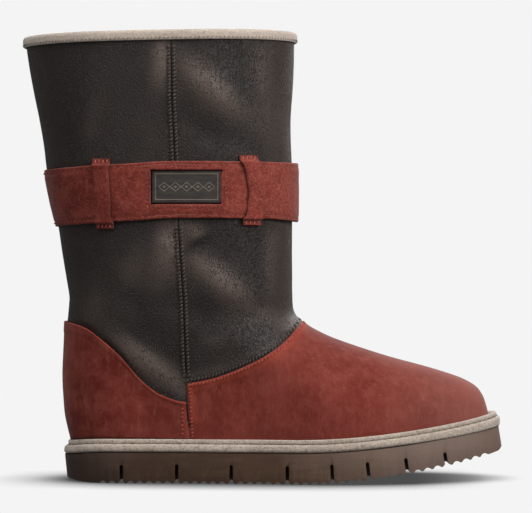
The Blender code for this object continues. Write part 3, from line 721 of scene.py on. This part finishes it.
SEAM_PITCH, SEAM_AWAY = 2.3 * MM, 1.5 * MM
HIDDEN_BY_STRAP = (0.1615, 0.1995)
side_stitches = []
for side in (-1, 1):
    for height in steps(67.5 * MM, 0.274, SEAM_PITCH):
        if HIDDEN_BY_STRAP[0] < height < HIDDEN_BY_STRAP[1]:
            continue
        for shift in (-SEAM_AWAY, SEAM_AWAY):
            slant = Vector((1, 0, 1.1 + chance.uniform(-0.15, 0.15)))
            side_stitches.append((*on_skin(leather_skin, side_seam(height) + shift, height, side), slant))
sew("side_seam_stitches", brown_thread, side_stitches, 2.9, 1.4, 0.45)


def along_line(line, pitch):
    """Points at a pitch along a line, each with the line's direction."""
    ahead = 0.0
    for first, second in zip(line, line[1:]):
        run = (second - first).length
        while ahead < run:
            yield first.lerp(second, ahead / run), (second - first).normalized()
            ahead += pitch
        ahead -= run


# Below its corner the vamp is sewn with one row, on its own side; over the instep with one on each side
VAMP_SEWN = [Vector((39.8 * MM, 29 * MM)), *VAMP_LINE[:-6]]
leather_row, nubuck_row = [], []
for side in (-1, 1):
    for spot, along in along_line(VAMP_SEWN, SEAM_PITCH):
        square = Vector((along.y, -along.x))
        runs_up = along.y > 0.9
        slant = square * 0.75 + along * (0.5 if runs_up else -0.65)
        for row, away in ((leather_row, -1.5), (nubuck_row, 1.5)):
            if runs_up and row is leather_row:
                continue
            flat = spot + square * away * MM
            if runs_up:
                flat.x += 0.2 * MM
            hit, out = on_skin(leather_skin, flat.x, flat.y, side)
            if hit is not None:
                row.append((hit, out, Vector((slant.x, 0, slant.y))))
sew("vamp_stitches_on_shaft", brown_thread, leather_row, 2.9, 1.1, 0.35)
sew("vamp_stitches", red_thread, nubuck_row, 2.4, 1.05, 0.12)


# Lining and footbed. Both are pressed wool felt: the lining is a second skin glued inside the leather, and the
# footbed is a firm pad glued on the sole, a little crowned and quilted, with its edges against the lining.

LINING = 1.2 * MM
FOOTBED = 3.6 * MM
QUILT = 12 * MM
lining_sheet = wrapped(COLUMNS[::3], ROWS[::3], lambda column, level: over(column, level, -LEATHER - GAP))
felt = Finish("beige_felt", Sheen_Weight=0.35, Sheen_Roughness=0.6, Specular_IOR_Level=0.15)
wool = felt.noise(520, 5.0, 0.75)
fibres = felt.noise(1900, 3.0, 0.7, (1, 1, 0.5), (0.4, 0.5, 0))
cast = felt.noise(70, 3.0)
fleck = felt.noise(620, 2.0, 0.8).within(0.56, 0.70)
# Painted light: the felt at the top of the collar gets a lighter coat for the light that falls on it from
# above.
collar = felt.axis("Z").within(0.262, 0.275)
beiges = felt.coats(
    (150, 132, 116), (wool.within(0.3, 0.7), (204, 190, 176)), (cast.within(0.35, 0.65) * 0.3, (138, 120, 104)),
    (fleck * 0.75, (92, 76, 62)), (collar * 0.22, (226, 212, 196)),
)
felt.finish(beiges, 0.95 - wool * 0.1, wool * 1.1 + fibres * 0.6, 0.75 * MM)

lining = make_piece("lining", lining_sheet, felt)
thicken(lining, LINING)


def footbed(step, across):
    """Point of the footbed's top: a step from heel to toe, and a share of the way across."""
    outer, inner = over(step, 0.45, -3.6 * MM), over(AROUND - step, 0.45, -3.6 * MM)
    point = outer.lerp(inner, (across + 1) / 2)
    crown = (1 - across * across) * math.sin(math.pi * share_along(step, -2, 24))
    waves = [math.sin(math.pi * (point.x + sign * point.y) / QUILT) for sign in (1, -1)]
    quilt = 0.25 * MM * abs(waves[0] * waves[1])
    point.z = sole_top(point.x) + GAP + 4.0 * MM + crown * 0.8 * MM + quilt
    return point


footbed_sheet = wrapped([k / 6 for k in range(6 * HALF + 1)], [k / 20 - 1 for k in range(41)], footbed)
insole = make_piece("footbed", footbed_sheet, felt, "insole")
thicken(insole, FOOTBED, 0.6 * MM)


# Heel counter. A stiff wrap of red nubuck round the heel, sewn on over the shaft: its top edge is turned in and
# pressed flat, which leaves a rounded lip with a second line under it, and its front ends meet the side seams.


def bisect(function, low, high, target):
    """Where a rising function reaches a target."""
    for _ in range(22):
        middle = (low + high) / 2
        low, high = (middle, high) if function(middle) < target else (low, middle)
    return (low + high) / 2


def level_at_height(column, height):
    return bisect(lambda level: last(column, level).z, 0, TOP, height)


def column_at_place(x, level):
    """Column on the outer side at which the last reaches this place along the foot."""
    return bisect(lambda column: last(column, level).x, 0, HALF, x)


COUNTER_THICK = 1.5 * MM
COUNTER_LENGTH = 0.0790
COUNTER_FRONT = column_at_place(SOLE_BACK + COUNTER_LENGTH, 3)
COLUMN_MM = 5.2
# How far under the lip the second line lies, at the ends and more round the heel, in mm
INNER_LINE, INNER_LINE_MORE = 1.6, 5.2
LIP_PROFILE = [(-1, -0.45), (0, -0.45), (0.4, 0.15), (1.0, 0.4), (1.7, 0.3), (2.4, 0.0), (90, 0.0)]
counter_columns = [COUNTER_FRONT * (k / 60 - 1) for k in range(121)]
counter_rows = [-1 - k / 22 for k in range(22)] + [-2.0]
counter_rows += [10.0, 8.5, 7.0, 6.0, 5.0, 4.0, 3.2, 2.6, 2.0, 1.4, 0.9, 0.4, 0.0]
counter_edges = {}


def counter_place(column, row):
    """Point of the counter's outer face: rows of mm under the top edge, and shares of what is under those."""
    column_key = round(column, 6)
    if column_key not in counter_edges:
        top = bisect(lambda level: last(column, level).z - counter_edge(last(column, level).x), 0, 16, 0)
        ten = level_at_height(column, last(column, top).z - 10.0 * MM * 0.97)
        counter_edges[column_key] = top, ten
    top, ten = counter_edges[column_key]
    if row < 0:
        share = -1 - row
        level, under = mix(1.05, ten, share), 10.0 + (1 - share) * 40
    else:
        level, under = mix(top, ten, row / 10.0), row
    front = (COUNTER_FRONT - abs(column)) * COLUMN_MM
    round_heel = share_along(abs(column), COUNTER_FRONT * 0.80, COUNTER_FRONT * 0.15)
    inner_line = INNER_LINE_MORE * round_heel + INNER_LINE
    height = min(profile_height(LIP_PROFILE, under), profile_height(LIP_PROFILE, front))
    height += 0.30 * (1 - ease(share_along(under, inner_line, inner_line + 1.4)))
    spot = last(column, level)
    height += 0.35 * noise.noise(spot * 38) * share_along(under, 2, 12)
    return over(column, level, GAP + COUNTER_THICK + height * MM)


counter_sheet = wrapped(counter_columns, counter_rows, counter_place)
counter_skin = BVHTree.FromBMesh(counter_sheet)
counter = make_piece("nubuck_counter", counter_sheet, nubuck, "heel_counter")


def counter_hem(point):
    return 0.8 * (1 - share_along((counter_edge(point.x) - point.z) / MM, 0.9, 1.8))


note_on_sheet(counter, "hem", counter_hem)
thicken(counter, COUNTER_THICK)

counter_stitches = []
for side in (-1, 1):
    for height in steps(31 * MM, 47 * MM, 2.6 * MM):
        spot, out = on_skin(counter_skin, 35.2 * MM, height, side)
        if spot is not None:
            counter_stitches.append((spot, out, Vector((0.8, 0, 0.55))))
sew("counter_stitches", red_thread, counter_stitches, 2.3, 0.95, 0.1)


# Welt. Beige felt in two strips round the whole foot: a thin one that stands against the upper, and a fuller
# roll under it on the rubber. Both are stabbed through with tan thread where they meet.

ROLL_HEIGHT, WELT_HEIGHT, WELT_LIP = 5.6 * MM, 8.6 * MM, 3.4 * MM


def plan_out(column):
    """Level direction out of the feather line."""
    along = last(column + 0.5, 0) - last(column - 0.5, 0)
    return Vector((along.y, -along.x, 0)).normalized()


def sole_reach(column):
    """How far the sole's top edge stands outside the upper."""
    step = column % AROUND if column % AROUND <= HALF else AROUND - column % AROUND
    heel, toe = 1 - ease(share_along(step, 0, 7)), ease(share_along(step, 14, HALF))
    return mix(mix(6.0, 6.5, heel), 9.0, toe) * MM - toe * 0.16 * (SOLE_THICK - 3.5 * MM)


def rounded(turn, low, high, start, end, square):
    """Point of a squared round section, turning once from 0 to 1, as a distance out and a height."""
    angle = math.tau * turn - math.pi / 2
    across, up = math.cos(angle), math.sin(angle)
    away = math.copysign(abs(across) ** (2 / square), across)
    rise = math.copysign(abs(up) ** (2 / square), up)
    return (start + end) / 2 + away * (end - start) / 2, (low + high) / 2 + rise * (high - low) / 2


def fuzz(point, depth):
    """Height of the felt's rough surface."""
    return depth * (noise.noise(point * 420) + 0.6 * noise.noise(point * 1300) + 0.5 * noise.noise(point * 90))


def on_welt(column, base, out, up, depth):
    """Rough felt at a distance out of the upper and a height over the sole."""
    point = base + plan_out(column) * out
    point.z = sole_top(point.x) + up
    return point + plan_out(column) * fuzz(point, depth)


def toe_share(column):
    return ease(share_along(abs(HALF - column % AROUND), 9, 1))


def welt_roll(column, turn):
    """The roll lies on the sole and hangs a little over its edge, most at the toe."""
    reach = sole_reach(column)
    toe = toe_share(column)
    out, up = rounded(turn, GAP, ROLL_HEIGHT, GAP, reach + mix(0.35, 0.8, toe) * MM, 2.7)
    hang = mix(0.9, 2.6, toe) * MM * share_along(out, reach - 0.1 * MM, reach + 0.3 * MM)
    hang *= share_along(up, 3.4 * MM, 0.6 * MM)
    return on_welt(column, last(column, 0), out, up - hang, 0.10 * MM)


def lip_reach(column):
    return mix(min(WELT_LIP, sole_reach(column) * 0.62), sole_reach(column) * 0.8, toe_share(column))


def welt_lip(column, turn):
    """The thin strip stands on the roll against the upper."""
    out, up = rounded(turn, ROLL_HEIGHT - 0.1 * MM, WELT_HEIGHT, GAP, lip_reach(column), 2.9)
    return on_welt(column, last(column, 0.85), out, up, 0.09 * MM)


welt_columns = [k / 8 for k in range(8 * AROUND + 1)]
turns = [k / 20 for k in range(21)]
make_piece("welt_roll", wrapped(welt_columns, turns, welt_roll), felt, "welt")
make_piece("welt_lip", wrapped(welt_columns, turns, welt_lip), felt, "welt")

welt_stitches = []
step = 0.0
while step < AROUND:
    base, out = last(step, 0.6), plan_out(step)
    spot = base + out * (lip_reach(step) + 0.1 * MM)
    spot.z = sole_top(spot.x) + ROLL_HEIGHT + 0.3 * MM
    along = (last(step + 0.3, 0) - last(step - 0.3, 0)).normalized()
    up_and_out = (out + Vector((0, 0, 0.5))).normalized()
    welt_stitches.append((spot, up_and_out, along + Vector((0, 0, 0.35))))
    step += 4.4 * MM / (last(step + 0.25, 0) - last(step - 0.25, 0)).length * 0.5
tan_thread = thread("tan_thread", "beige_felt", (92, 78, 66), (138, 122, 108))
sew("welt_stitches", tan_thread, welt_stitches, 1.5, 0.65)


# Outsole. One piece of moulded brown rubber, cemented under the welt. Its edges are eased a little by the
# mould and by wear. The tread is darker towards the bottom; painted shade darkens the heel end and painted
# sheen lightens the toe.

sole = bmesh.new()
sole.from_mesh(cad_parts["outsole"].data)
bmesh.ops.remove_doubles(sole, verts=sole.verts, dist=0.002 * MM)
bmesh.ops.dissolve_limit(sole, angle_limit=math.radians(0.6), verts=sole.verts, edges=sole.edges)
sharp = [edge for edge in sole.edges if edge.is_manifold and edge.calc_face_angle() > math.radians(24)]
bmesh.ops.bevel(
    sole, geom=sharp, offset=0.25 * MM, segments=2, profile=0.5, affect="EDGES", clamp_overlap=True,
    material=-1,
)
rubber = Finish("brown_rubber", Specular_IOR_Level=0.4)
bloom = rubber.noise(34, 4.0, 0.6)
speckle = rubber.noise(1500, 3.0, 0.7)
brushed = rubber.noise(240, 4.0, 0.7, (0.25, 0.25, 1.6))
# Painted shade darkens the heel end, which faces away from the lamp, and painted sheen lightens the toe, which
# faces it.
heel = 1 - rubber.axis("X").within(-0.04, 0.13)
sole_toe_painted_sheen = rubber.axis("X").within(0.09, 0.19)
darker_low = rubber.axis("Z").below(0.004, 0.004)
umbers = rubber.coats(
    (60, 38, 22), (bloom.within(0.3, 0.7), (82, 56, 37)), (brushed.within(0.45, 0.75) * 0.35, (108, 82, 62)),
    (speckle.within(0.5, 0.72) * 0.25, (114, 92, 74)), (heel * 0.75, (28, 14, 6)),
    (sole_toe_painted_sheen * 0.5, (124, 106, 96)), (darker_low * 0.4, (48, 34, 26)),
)
rubber.finish(umbers, 0.50 + bloom * 0.15 + brushed * 0.12, speckle * 0.6 + brushed * 0.5, 0.16 * MM)
outsole = make_piece("rubber_sole", sole, rubber, "outsole")
outsole.data.set_sharp_from_angle(angle=math.radians(35))


# Collar binding. A strip of the same felt folded over the top edge of leather and lining and sewn through
# close to its lower edge, which waves a little in and out along the row.

# Section of the folded strip: mm out of the last and mm over the last's top
BINDING_SECTION = [
    (0.3, -5.7), (1.0, -6.1), (1.55, -5.8), (1.75, -5.0), (1.85, -3.4), (1.85, -1.6), (1.75, 0.0), (1.35, 1.0),
    (0.5, 1.5), (-1.5, 1.6), (-3.5, 1.5), (-4.35, 1.0), (-4.75, 0.0), (-4.85, -1.6), (-4.85, -3.4),
    (-4.75, -5.0), (-4.6, -5.8), (-4.0, -6.1), (-3.3, -5.7), (-3.3, -2.5), (-3.3, 0.3), (-1.5, 0.3), (0.3, 0.3),
    (0.3, -2.5), (0.3, -5.7),
]
TOP_LEVEL_MM = 17.3


def binding_place(column, number):
    out, up = BINDING_SECTION[number]
    level = TOP + min(up, 0.0) / TOP_LEVEL_MM
    point = over(column, level, out * MM)
    point.z += max(up, 0.0) * MM
    if out > 0.4 or out < -3.5:
        pull = math.cos(math.tau * column * 1.6) * 0.10 * MM * share_along(-up, 3, 6)
        point += out_of_last(column, level) * (fuzz(point, 0.10 * MM) - pull) * math.copysign(1, out)
    if up > 0.9:
        point.z += fuzz(point, 0.12 * MM)
    return point


binding_sheet = wrapped(welt_columns, range(len(BINDING_SECTION)), binding_place)
make_piece("felt_binding", binding_sheet, felt, "collar_binding")
binding_stitches = []
column = 0.0
while column < AROUND:
    out = out_of_last(column, 22.8)
    along = last(column + 0.1, 22.7) - last(column - 0.1, 22.7)
    slant = along.normalized() + Vector((0, 0, 1.1))
    binding_stitches.append((over(column, TOP - 4.7 / TOP_LEVEL_MM, 1.95 * MM), out, slant))
    column += 0.2 * 2.6 * MM / along.length
sew("binding_stitches", tan_thread, binding_stitches, 1.7, 0.65)


# Strap. A wide band of red suede round the shaft that swells a little between its two rows of stitches, with a
# window for the label on the outer side. It lies close to the shaft and stands off a little over the front.

STRAP_THICK = 2.0 * MM
STRAP_ROWS = 35.6
STRAP_HEIGHT = STRAP_ROWS * MM
STITCH_INSET = 2.0
STRAP_STITCHES = 150
STRAP_MIDDLE = SOLE_THICK + 162.4 * MM
WINDOW = Vector((38.3 * MM, STRAP_MIDDLE + 3.9 * MM))
WINDOW_HALF = Vector((22.25 * MM, 10.5 * MM))
WINDOW_ROWS = (8.2, 29.2)
STRAP_PROFILE = [
    (-1, -0.5), (0, -0.5), (0.6, 0.05), (1.4, 0.15), (2.0, -0.2), (2.7, 0.15), (5.0, 0.45), (90, 0.45)
]
WINDOW_PROFILE = [(-0.5, -0.45), (0, -0.45), (0.6, 0.1), (1.4, 0.15), (2.1, -0.3), (3.0, 0.05), (4.5, 0)]
STRAP_LEVEL = level_at_height(0, STRAP_MIDDLE)


def strap_edges(column):
    """Heights of the strap's lower and upper edge: tilted with the shaft and bowed up at the sides."""
    step = column % AROUND
    tilt = math.tan(math.radians(1.4)) * (last(column, STRAP_LEVEL).x - WINDOW.x)
    middle = STRAP_MIDDLE + tilt + 2.5 * MM * math.sin(math.pi * step / HALF) ** 2
    front = ease(share_along(abs(HALF - step), 4, 0)) * 1.2 * MM
    return middle - STRAP_HEIGHT / 2 - front, middle + STRAP_HEIGHT / 2 + front * 0.5


def strap_slack(column):
    return GAP + 1.6 * MM * ease(share_along(abs(HALF - column % AROUND), 6, 0))


strap_levels = {}


def on_strap(column, share, lift):
    """Point over the strap's place: a share of the way from its lower to its upper edge."""
    key = round(column, 6)
    if key not in strap_levels:
        strap_levels[key] = [level_at_height(column, edge) for edge in strap_edges(column)]
    return over(column, mix(*strap_levels[key], share), strap_slack(column) + lift)


def upright(column, level):
    """Column that stands upright over this one at the strap's middle, on the outer side."""
    weight = ease(share_along(column, 3, 5)) * ease(share_along(column, 20, 17))
    if not weight:
        return column
    return mix(column, column_at_place(last(column, STRAP_LEVEL).x, level), weight)


def strap_place(column, row):
    """Point of the strap's outer face: rows of mm over its lower edge, drawn level along the window."""
    low, high = strap_edges(column)
    near_window = ease(share_along(abs(column - WINDOW_MIDDLE), 8.0, 3.8))
    height = mix(low, high, row / STRAP_ROWS)
    for edge, drawn in zip(WINDOW_ROWS, (WINDOW.y - WINDOW_HALF.y, WINDOW.y + WINDOW_HALF.y)):
        reach = share_along(abs(row - edge), 6.2, 0)
        height += (drawn - mix(low, high, edge / STRAP_ROWS)) * reach * near_window
    under = min(row, STRAP_ROWS - row)
    level = level_at_height(column, height)
    column = upright(column, level)
    spot = last(column, level)
    rumple = noise.noise(spot * 55) * 0.30 + noise.noise(spot * 170) * 0.16
    pull = 0.14 * math.cos(math.tau * column * 3.4) * share_along(under, 3.2, 1.2)
    raised = profile_height(STRAP_PROFILE, under) + rumple * share_along(under, -1, 3) - pull
    raised -= 0.6 * share_along(min(column, AROUND - column), 4, 0)
    if spot.y < 0:
        raised += profile_height(WINDOW_PROFILE, beside_window(spot) / MM)
    point = over(column, level, strap_slack(column) + STRAP_THICK + raised * MM)
    window_near = share_along(beside_window(spot), 2 * MM, 5 * MM) if spot.y < 0 else 1.0
    point.z += noise.noise(spot * 40 + Vector((3, 0, 0))) * 0.45 * MM * share_along(under, 3, 0) * window_near
    return point


def beside_window(point):
    """Distance outside the window, seen from the side."""
    away = [abs(a) - b for a, b in zip((point.x - WINDOW.x, point.z - WINDOW.y), WINDOW_HALF)]
    return math.hypot(max(away[0], 0), max(away[1], 0)) + min(max(away), 0)


WINDOW_MIDDLE = column_at_place(WINDOW.x, STRAP_LEVEL)
WINDOW_ENDS = [column_at_place(WINDOW.x + side * WINDOW_HALF.x, STRAP_LEVEL) for side in (-1, 1)]
strap_columns = [c for c in welt_columns if min(abs(c - end) for end in WINDOW_ENDS) > 0.05]
strap_columns = sorted(strap_columns + WINDOW_ENDS)
strap_rows = [0, 0.5, 1.0, 1.6, 2.2, 2.8, 4.2, 5.4, 6.1, 6.8, 7.6, 8.2, 9.7, 12, 15, 18, 21, 24, 26.5, 27.8]
strap_rows += [29.2, 29.8, 30.6, 31.3, 32.0, 32.8, 33.4, 34.0, 34.6, 35.1, STRAP_ROWS]
strap_sheet = wrapped(strap_columns, strap_rows, strap_place)
middles = [(face, face.calc_center_median()) for face in strap_sheet.faces]
inside = [face for face, middle in middles if middle.y < 0 and beside_window(middle) < 0.0]
bmesh.ops.delete(strap_sheet, geom=inside, context="FACES")
strap_skin = BVHTree.FromBMesh(strap_sheet)

suede = Finish("red_suede", Sheen_Weight=0.14, Sheen_Roughness=0.4, Specular_IOR_Level=0.1)
brush = suede.noise(60, 5.0, 0.7, (1, 1, 1.3))
patches = suede.noise(150, 4.0, 0.7)
tufts = suede.noise(1250, 4.0, 0.75)
pile = suede.noise(520, 3.0, 0.7)
# Painted light: the strap's ground and its light tufts are lighter towards the front, where the lamp falls.
front_painted_light = suede.axis("X").within(-0.03, 0.10)
russets = suede.coats(
    (90, 28, 20), ((brush + front_painted_light * 0.25).within(0.35, 0.75), (132, 56, 46)),
    (patches.within(0.48, 0.68) * 0.4, (152, 80, 68)),
    (tufts.within(0.50, 0.64) * (0.22 + front_painted_light * 0.35), (184, 118, 106)),
    (pile.within(0.58, 0.38) * 0.4, (66, 22, 17)),
)
suede.finish(russets, 0.92 - patches * 0.1, tufts * 0.6 + pile * 0.7, 0.45 * MM)

strap = make_piece("suede_strap", strap_sheet, suede, "strap")
thicken(strap, STRAP_THICK - 0.3 * MM)

strap_stitches = []
for share in (STITCH_INSET / STRAP_ROWS, 1 - STITCH_INSET / STRAP_ROWS):
    for k in range(STRAP_STITCHES):
        column = k * AROUND / STRAP_STITCHES
        spot = on_strap(column, share, STRAP_THICK)
        along = on_strap(column + 0.15, share, STRAP_THICK) - on_strap(column - 0.15, share, STRAP_THICK)
        slant = along.normalized() + Vector((0, 0, 0.12))
        strap_stitches.append((spot, out_of_last(column, STRAP_LEVEL), slant))
pink_thread = thread("pink_thread", "red_suede", (88, 32, 25), (158, 84, 70))
sew("strap_stitches", pink_thread, strap_stitches, 2.1, 0.75)

window_stitches = []
reach = WINDOW_HALF + Vector((2.1 * MM, 2.1 * MM))
signs = ((-1, -1), (1, -1), (1, 1), (-1, 1), (-1, -1))
corners = [Vector((WINDOW.x + a * reach.x, WINDOW.y + b * reach.y)) for a, b in signs]
for spot, along in along_line(corners, 2.5 * MM):
    slant = Vector((along.x + 0.35 * along.y, 0, along.y + 0.35 * along.x))
    window_stitches.append((*on_skin(strap_skin, spot.x, spot.y, -1), slant))
sew("window_stitches", pink_thread, window_stitches, 1.9, 0.75, 0.1)


# Label. A thin plate of dark pressed leather in the strap's window, with a plain frame line and a row of
# lozenges pressed into it and rubbed lighter.

LABEL_THICK = 1.1 * MM
# The pressed lines in mm from the middle of the label: the frame's sides and top, and the row of lozenges
FRAME_SIDE, FRAME_TOP, LINE_HALF = 19.4, 8.0, 0.42
LOZENGE_PITCH, LOZENGE_HALF, LOZENGE_SLOPE, ROW_END = 7.0, 3.4, 1.25, 17.4


def spot_at(x, z):
    """Column and level on the outer side for a place seen from the side."""
    column = 11.0
    for _ in range(3):
        level = level_at_height(column, z)
        column = column_at_place(x, level)
    return column, level


def label_place(along, up):
    x = WINDOW.x + along * (WINDOW_HALF.x - 0.4 * MM)
    z = WINDOW.y + up * (WINDOW_HALF.y - 0.4 * MM)
    from_edge = min((1 - abs(along)) * WINDOW_HALF.x, (1 - abs(up)) * WINDOW_HALF.y) / MM
    spot = over(*spot_at(x, z), GAP + LABEL_THICK)
    sunk = 0.25 * MM * share_along(from_edge, 1.0, 0.0) + 0.06 * MM * noise.noise(spot * 90)
    return spot + Vector((0, sunk, 0))


label_sheet = wrapped([k / 22 - 1 for k in range(45)], [k / 11 - 1 for k in range(23)], label_place)
plate = Finish("dark_plate", Specular_IOR_Level=0.45)
scratches = plate.noise(160, 5.0, 0.75, (0.5, 1, 2.0))
grit = plate.noise(1200, 3.0, 0.7)
across = abs((plate.axis("X") - WINDOW.x) * (1 / MM))
up_or_down = abs((plate.axis("Z") - WINDOW.y) * (1 / MM))
frame_sides = abs(across - FRAME_SIDE).below(LINE_HALF, 0.25) * up_or_down.below(FRAME_TOP + 0.2, 0.2)
frame_ends = abs(up_or_down - FRAME_TOP).below(LINE_HALF, 0.25) * across.below(FRAME_SIDE + 0.3, 0.2)
from_middle = plate.repeated(across, LOZENGE_PITCH) + up_or_down * LOZENGE_SLOPE
lozenge = abs(from_middle - LOZENGE_HALF).below(0.55, 0.3) * across.below(ROW_END, 0.3)
heart = from_middle.below(1.3, 0.4) * across.below(ROW_END, 0.3)
pressed = (frame_sides + frame_ends + lozenge + heart).within(0, 1)
blacks = plate.coats(
    (34, 30, 27), (scratches.within(0.35, 0.7), (66, 59, 53)),
    (pressed * (0.35 + scratches * 0.6), (128, 116, 104)),
)
plate.finish(blacks, 0.5 + scratches * 0.25, grit * 0.4 + pressed * 1.2 + scratches * 0.5, 0.22 * MM)
label = make_piece("pressed_label", label_sheet, plate, "label")
thicken(label, LABEL_THICK)


# Keepers. Four upright loops of the same suede over the strap, two on each side of the boot. Their ends are
# sewn to the shaft just above and below the strap, and their cut edges are raw and a little wavy.

KEEPER_WIDTH, KEEPER_THICK, KEEPER_TAB = 10.8 * MM, 1.4 * MM, 3.9 * MM
KEEPER_DRAWN = 0.84
KEEPER_PLACES = {"rear": -13.4 * MM, "front": 77.2 * MM}
keeper_stitches = []
for name, x in KEEPER_PLACES.items():
    low, high = strap_edges(column_at_place(x, STRAP_LEVEL))
    bow = 2.6 * MM if name == "front" else 0.4 * MM
    known_spots = {}
    for side, node in ((-1, "outer"), (1, "inner")):

        def keeper_place(across, height, lift_more=0.0):
            share = share_along(height, low, high)
            lean = -0.050 * (height - (low + high) / 2) + bow * math.sin(math.pi * share)
            waver = noise.noise(Vector((across * 2, height * 150, x * 90 + side))) * 0.45 * MM
            key = (round(across, 4), round(height, 6))
            from_edge = min(height - low, high - height)
            if key not in known_spots:
                drawn_in = mix(1.0, KEEPER_DRAWN, ease(share_along(from_edge, -1 * MM, 3 * MM)))
                known_spots[key] = spot_at(x + lean + across * drawn_in * KEEPER_WIDTH / 2, height)
            column, level = known_spots[key]
            lift = 0.0
            if low - 1.6 * MM < height < high + 1.6 * MM:
                ramp = ease(share_along(from_edge, -1.6 * MM, 0.2 * MM))
                lift = ramp * (STRAP_THICK + 0.75 * MM + strap_slack(column) - GAP)
            crown = 0.35 * MM * (1 - across**4) + waver * 0.3
            if side > 0:
                column = AROUND - column
            point = over(column, level, GAP + lift + KEEPER_THICK + crown + lift_more)
            return point + Vector((waver * abs(across), 0, 0))

        spots = [low - KEEPER_TAB + k * (high - low + 2 * KEEPER_TAB) / 64 for k in range(65)]
        places = [k / 5 - 1 for k in range(11)]
        strip = wrapped(places, spots, keeper_place)
        if side > 0:
            bmesh.ops.reverse_faces(strip, faces=strip.faces)
        cad_node = f"keeper_{name}_{node}"
        keeper = make_piece(f"suede_{cad_node}", strip, suede, cad_node)
        thicken(keeper, KEEPER_THICK, 0.35 * MM)
        for height in (low - KEEPER_TAB * 0.55, high + KEEPER_TAB * 0.55):
            for across in (-0.66, -0.22, 0.22, 0.66):
                spot = keeper_place(across, height, 0.1 * MM)
                out = (keeper_place(across, height, 1 * MM) - spot).normalized()
                keeper_stitches.append((spot, out, Vector((0.25, 0, 1))))
bright_thread = thread("bright_thread", "red_suede", (128, 54, 44), (204, 126, 108))
sew("keeper_stitches", bright_thread, keeper_stitches, 2.4, 0.9)


# Studio. The floor and the wall behind are one plain pale surface that glows evenly; the only shadow is a soft
# one painted on the floor where the sole is close over it.

STUDIO = 6.0
PALE = paint(244, 244, 244)


def plain_light(name, shadowed):
    """A surface of even brightness, with a painted soft shadow where something is close over it."""
    material = bpy.data.materials.new(name)
    material.use_nodes = True
    tree = material.node_tree
    tree.nodes.clear()
    glow = tree.nodes.new("ShaderNodeEmission")
    join(tree, PALE, glow.inputs["Color"])
    out = tree.nodes.new("ShaderNodeOutputMaterial")
    tree.links.new(glow.outputs[0], out.inputs[0])
    if shadowed:
        # Painted shadow: the glow is dimmed by how much lies close over the floor, near and further out, with
        # the wider part faded out past the toe.
        wide = tree.nodes.new("ShaderNodeAmbientOcclusion")
        join(tree, 0.075, wide.inputs["Distance"])
        near = tree.nodes.new("ShaderNodeAmbientOcclusion")
        join(tree, 0.026, near.inputs["Distance"])
        wide.samples = near.samples = 16
        place = tree.nodes.new("ShaderNodeTexCoord")
        apart = tree.nodes.new("ShaderNodeSeparateXYZ")
        tree.links.new(place.outputs["Object"], apart.inputs[0])
        toe = Wire(tree, apart.outputs["X"]).within(0.18, 0.23)
        soft = Wire(tree, wide.outputs["AO"]).within(0.0, 0.93) ** 3.0
        close = Wire(tree, near.outputs["AO"]).within(0.0, 0.97) ** 1.3
        join(tree, (soft * (1 - toe) + toe) * close * 0.92 + 0.08, glow.inputs["Strength"])
    return material


def stage_piece(name, sheet, shadowed):
    """A surface that only the camera sees, so it neither lights nor mirrors in the boot."""
    mesh = bpy.data.meshes.new(name)
    sheet.to_mesh(mesh)
    mesh.materials.append(plain_light(name + "_pale", shadowed))
    surface = bpy.data.objects.new(name, mesh)
    surface.visible_diffuse = surface.visible_glossy = surface.visible_shadow = False
    bpy.context.scene.collection.objects.link(surface)
    return surface


floor_sheet = bmesh.new()
bmesh.ops.create_circle(floor_sheet, cap_ends=True, segments=96, radius=STUDIO)
floor = stage_piece("floor", floor_sheet, True)
wall_sheet = bmesh.new()
bmesh.ops.create_circle(wall_sheet, segments=96, radius=STUDIO)
wall_up = bmesh.ops.extrude_edge_only(wall_sheet, edges=wall_sheet.edges[:])["geom"]
wall_up = [item for item in wall_up if isinstance(item, bmesh.types.BMVert)]
bmesh.ops.translate(wall_sheet, verts=wall_up, vec=(0, 0, STUDIO))
backdrop = stage_piece("backdrop", wall_sheet, False)
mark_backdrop(floor, backdrop)

world = bpy.data.worlds.new("studio air")
bpy.context.scene.world = world
world.use_nodes = True
background = world.node_tree.nodes["Background"]
background.inputs["Color"].default_value = (1, 1, 1, 1)
background.inputs["Strength"].default_value = 0.22


def soft_box(name, place, aim, size, power):
    """A large even lamp that faces a point."""
    lamp = bpy.data.lights.new(name, "AREA")
    lamp.shape = "RECTANGLE"
    lamp.size, lamp.size_y = size
    lamp.energy = power
    light = bpy.data.objects.new(name, lamp)
    light.location = place
    light.rotation_euler = (Vector(aim) - Vector(place)).to_track_quat("-Z", "Y").to_euler()
    bpy.context.scene.collection.objects.link(light)


soft_box("key", (1.35, -1.05, 1.05), (0.08, 0, 0.12), (0.9, 0.9), 30)
soft_box("top", (-0.05, -0.55, 1.6), (0.06, 0, 0.14), (1.2, 1.0), 14)
soft_box("fill", (-0.8, -1.2, 1.3), (0.02, 0, 0.20), (0.9, 0.9), 8)
soft_box("rear", (0.5, 1.6, 1.0), (0.05, 0, 0.13), (1.2, 1.2), 22)

camera_data = bpy.data.cameras.new("camera")
camera_data.lens = 201.2
camera = bpy.data.objects.new("camera", camera_data)
camera.location = (0.0877, -1.9, 0.142)
camera.rotation_euler = (math.pi / 2, 0, 0)
bpy.context.scene.collection.objects.link(camera)
bpy.context.scene.camera = camera
bpy.context.scene.view_settings.view_transform = "Standard"

boxes = {"cad": cad_box, "visual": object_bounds()}
{name: [list(corner) for corner in box] for name, box in boxes.items()}
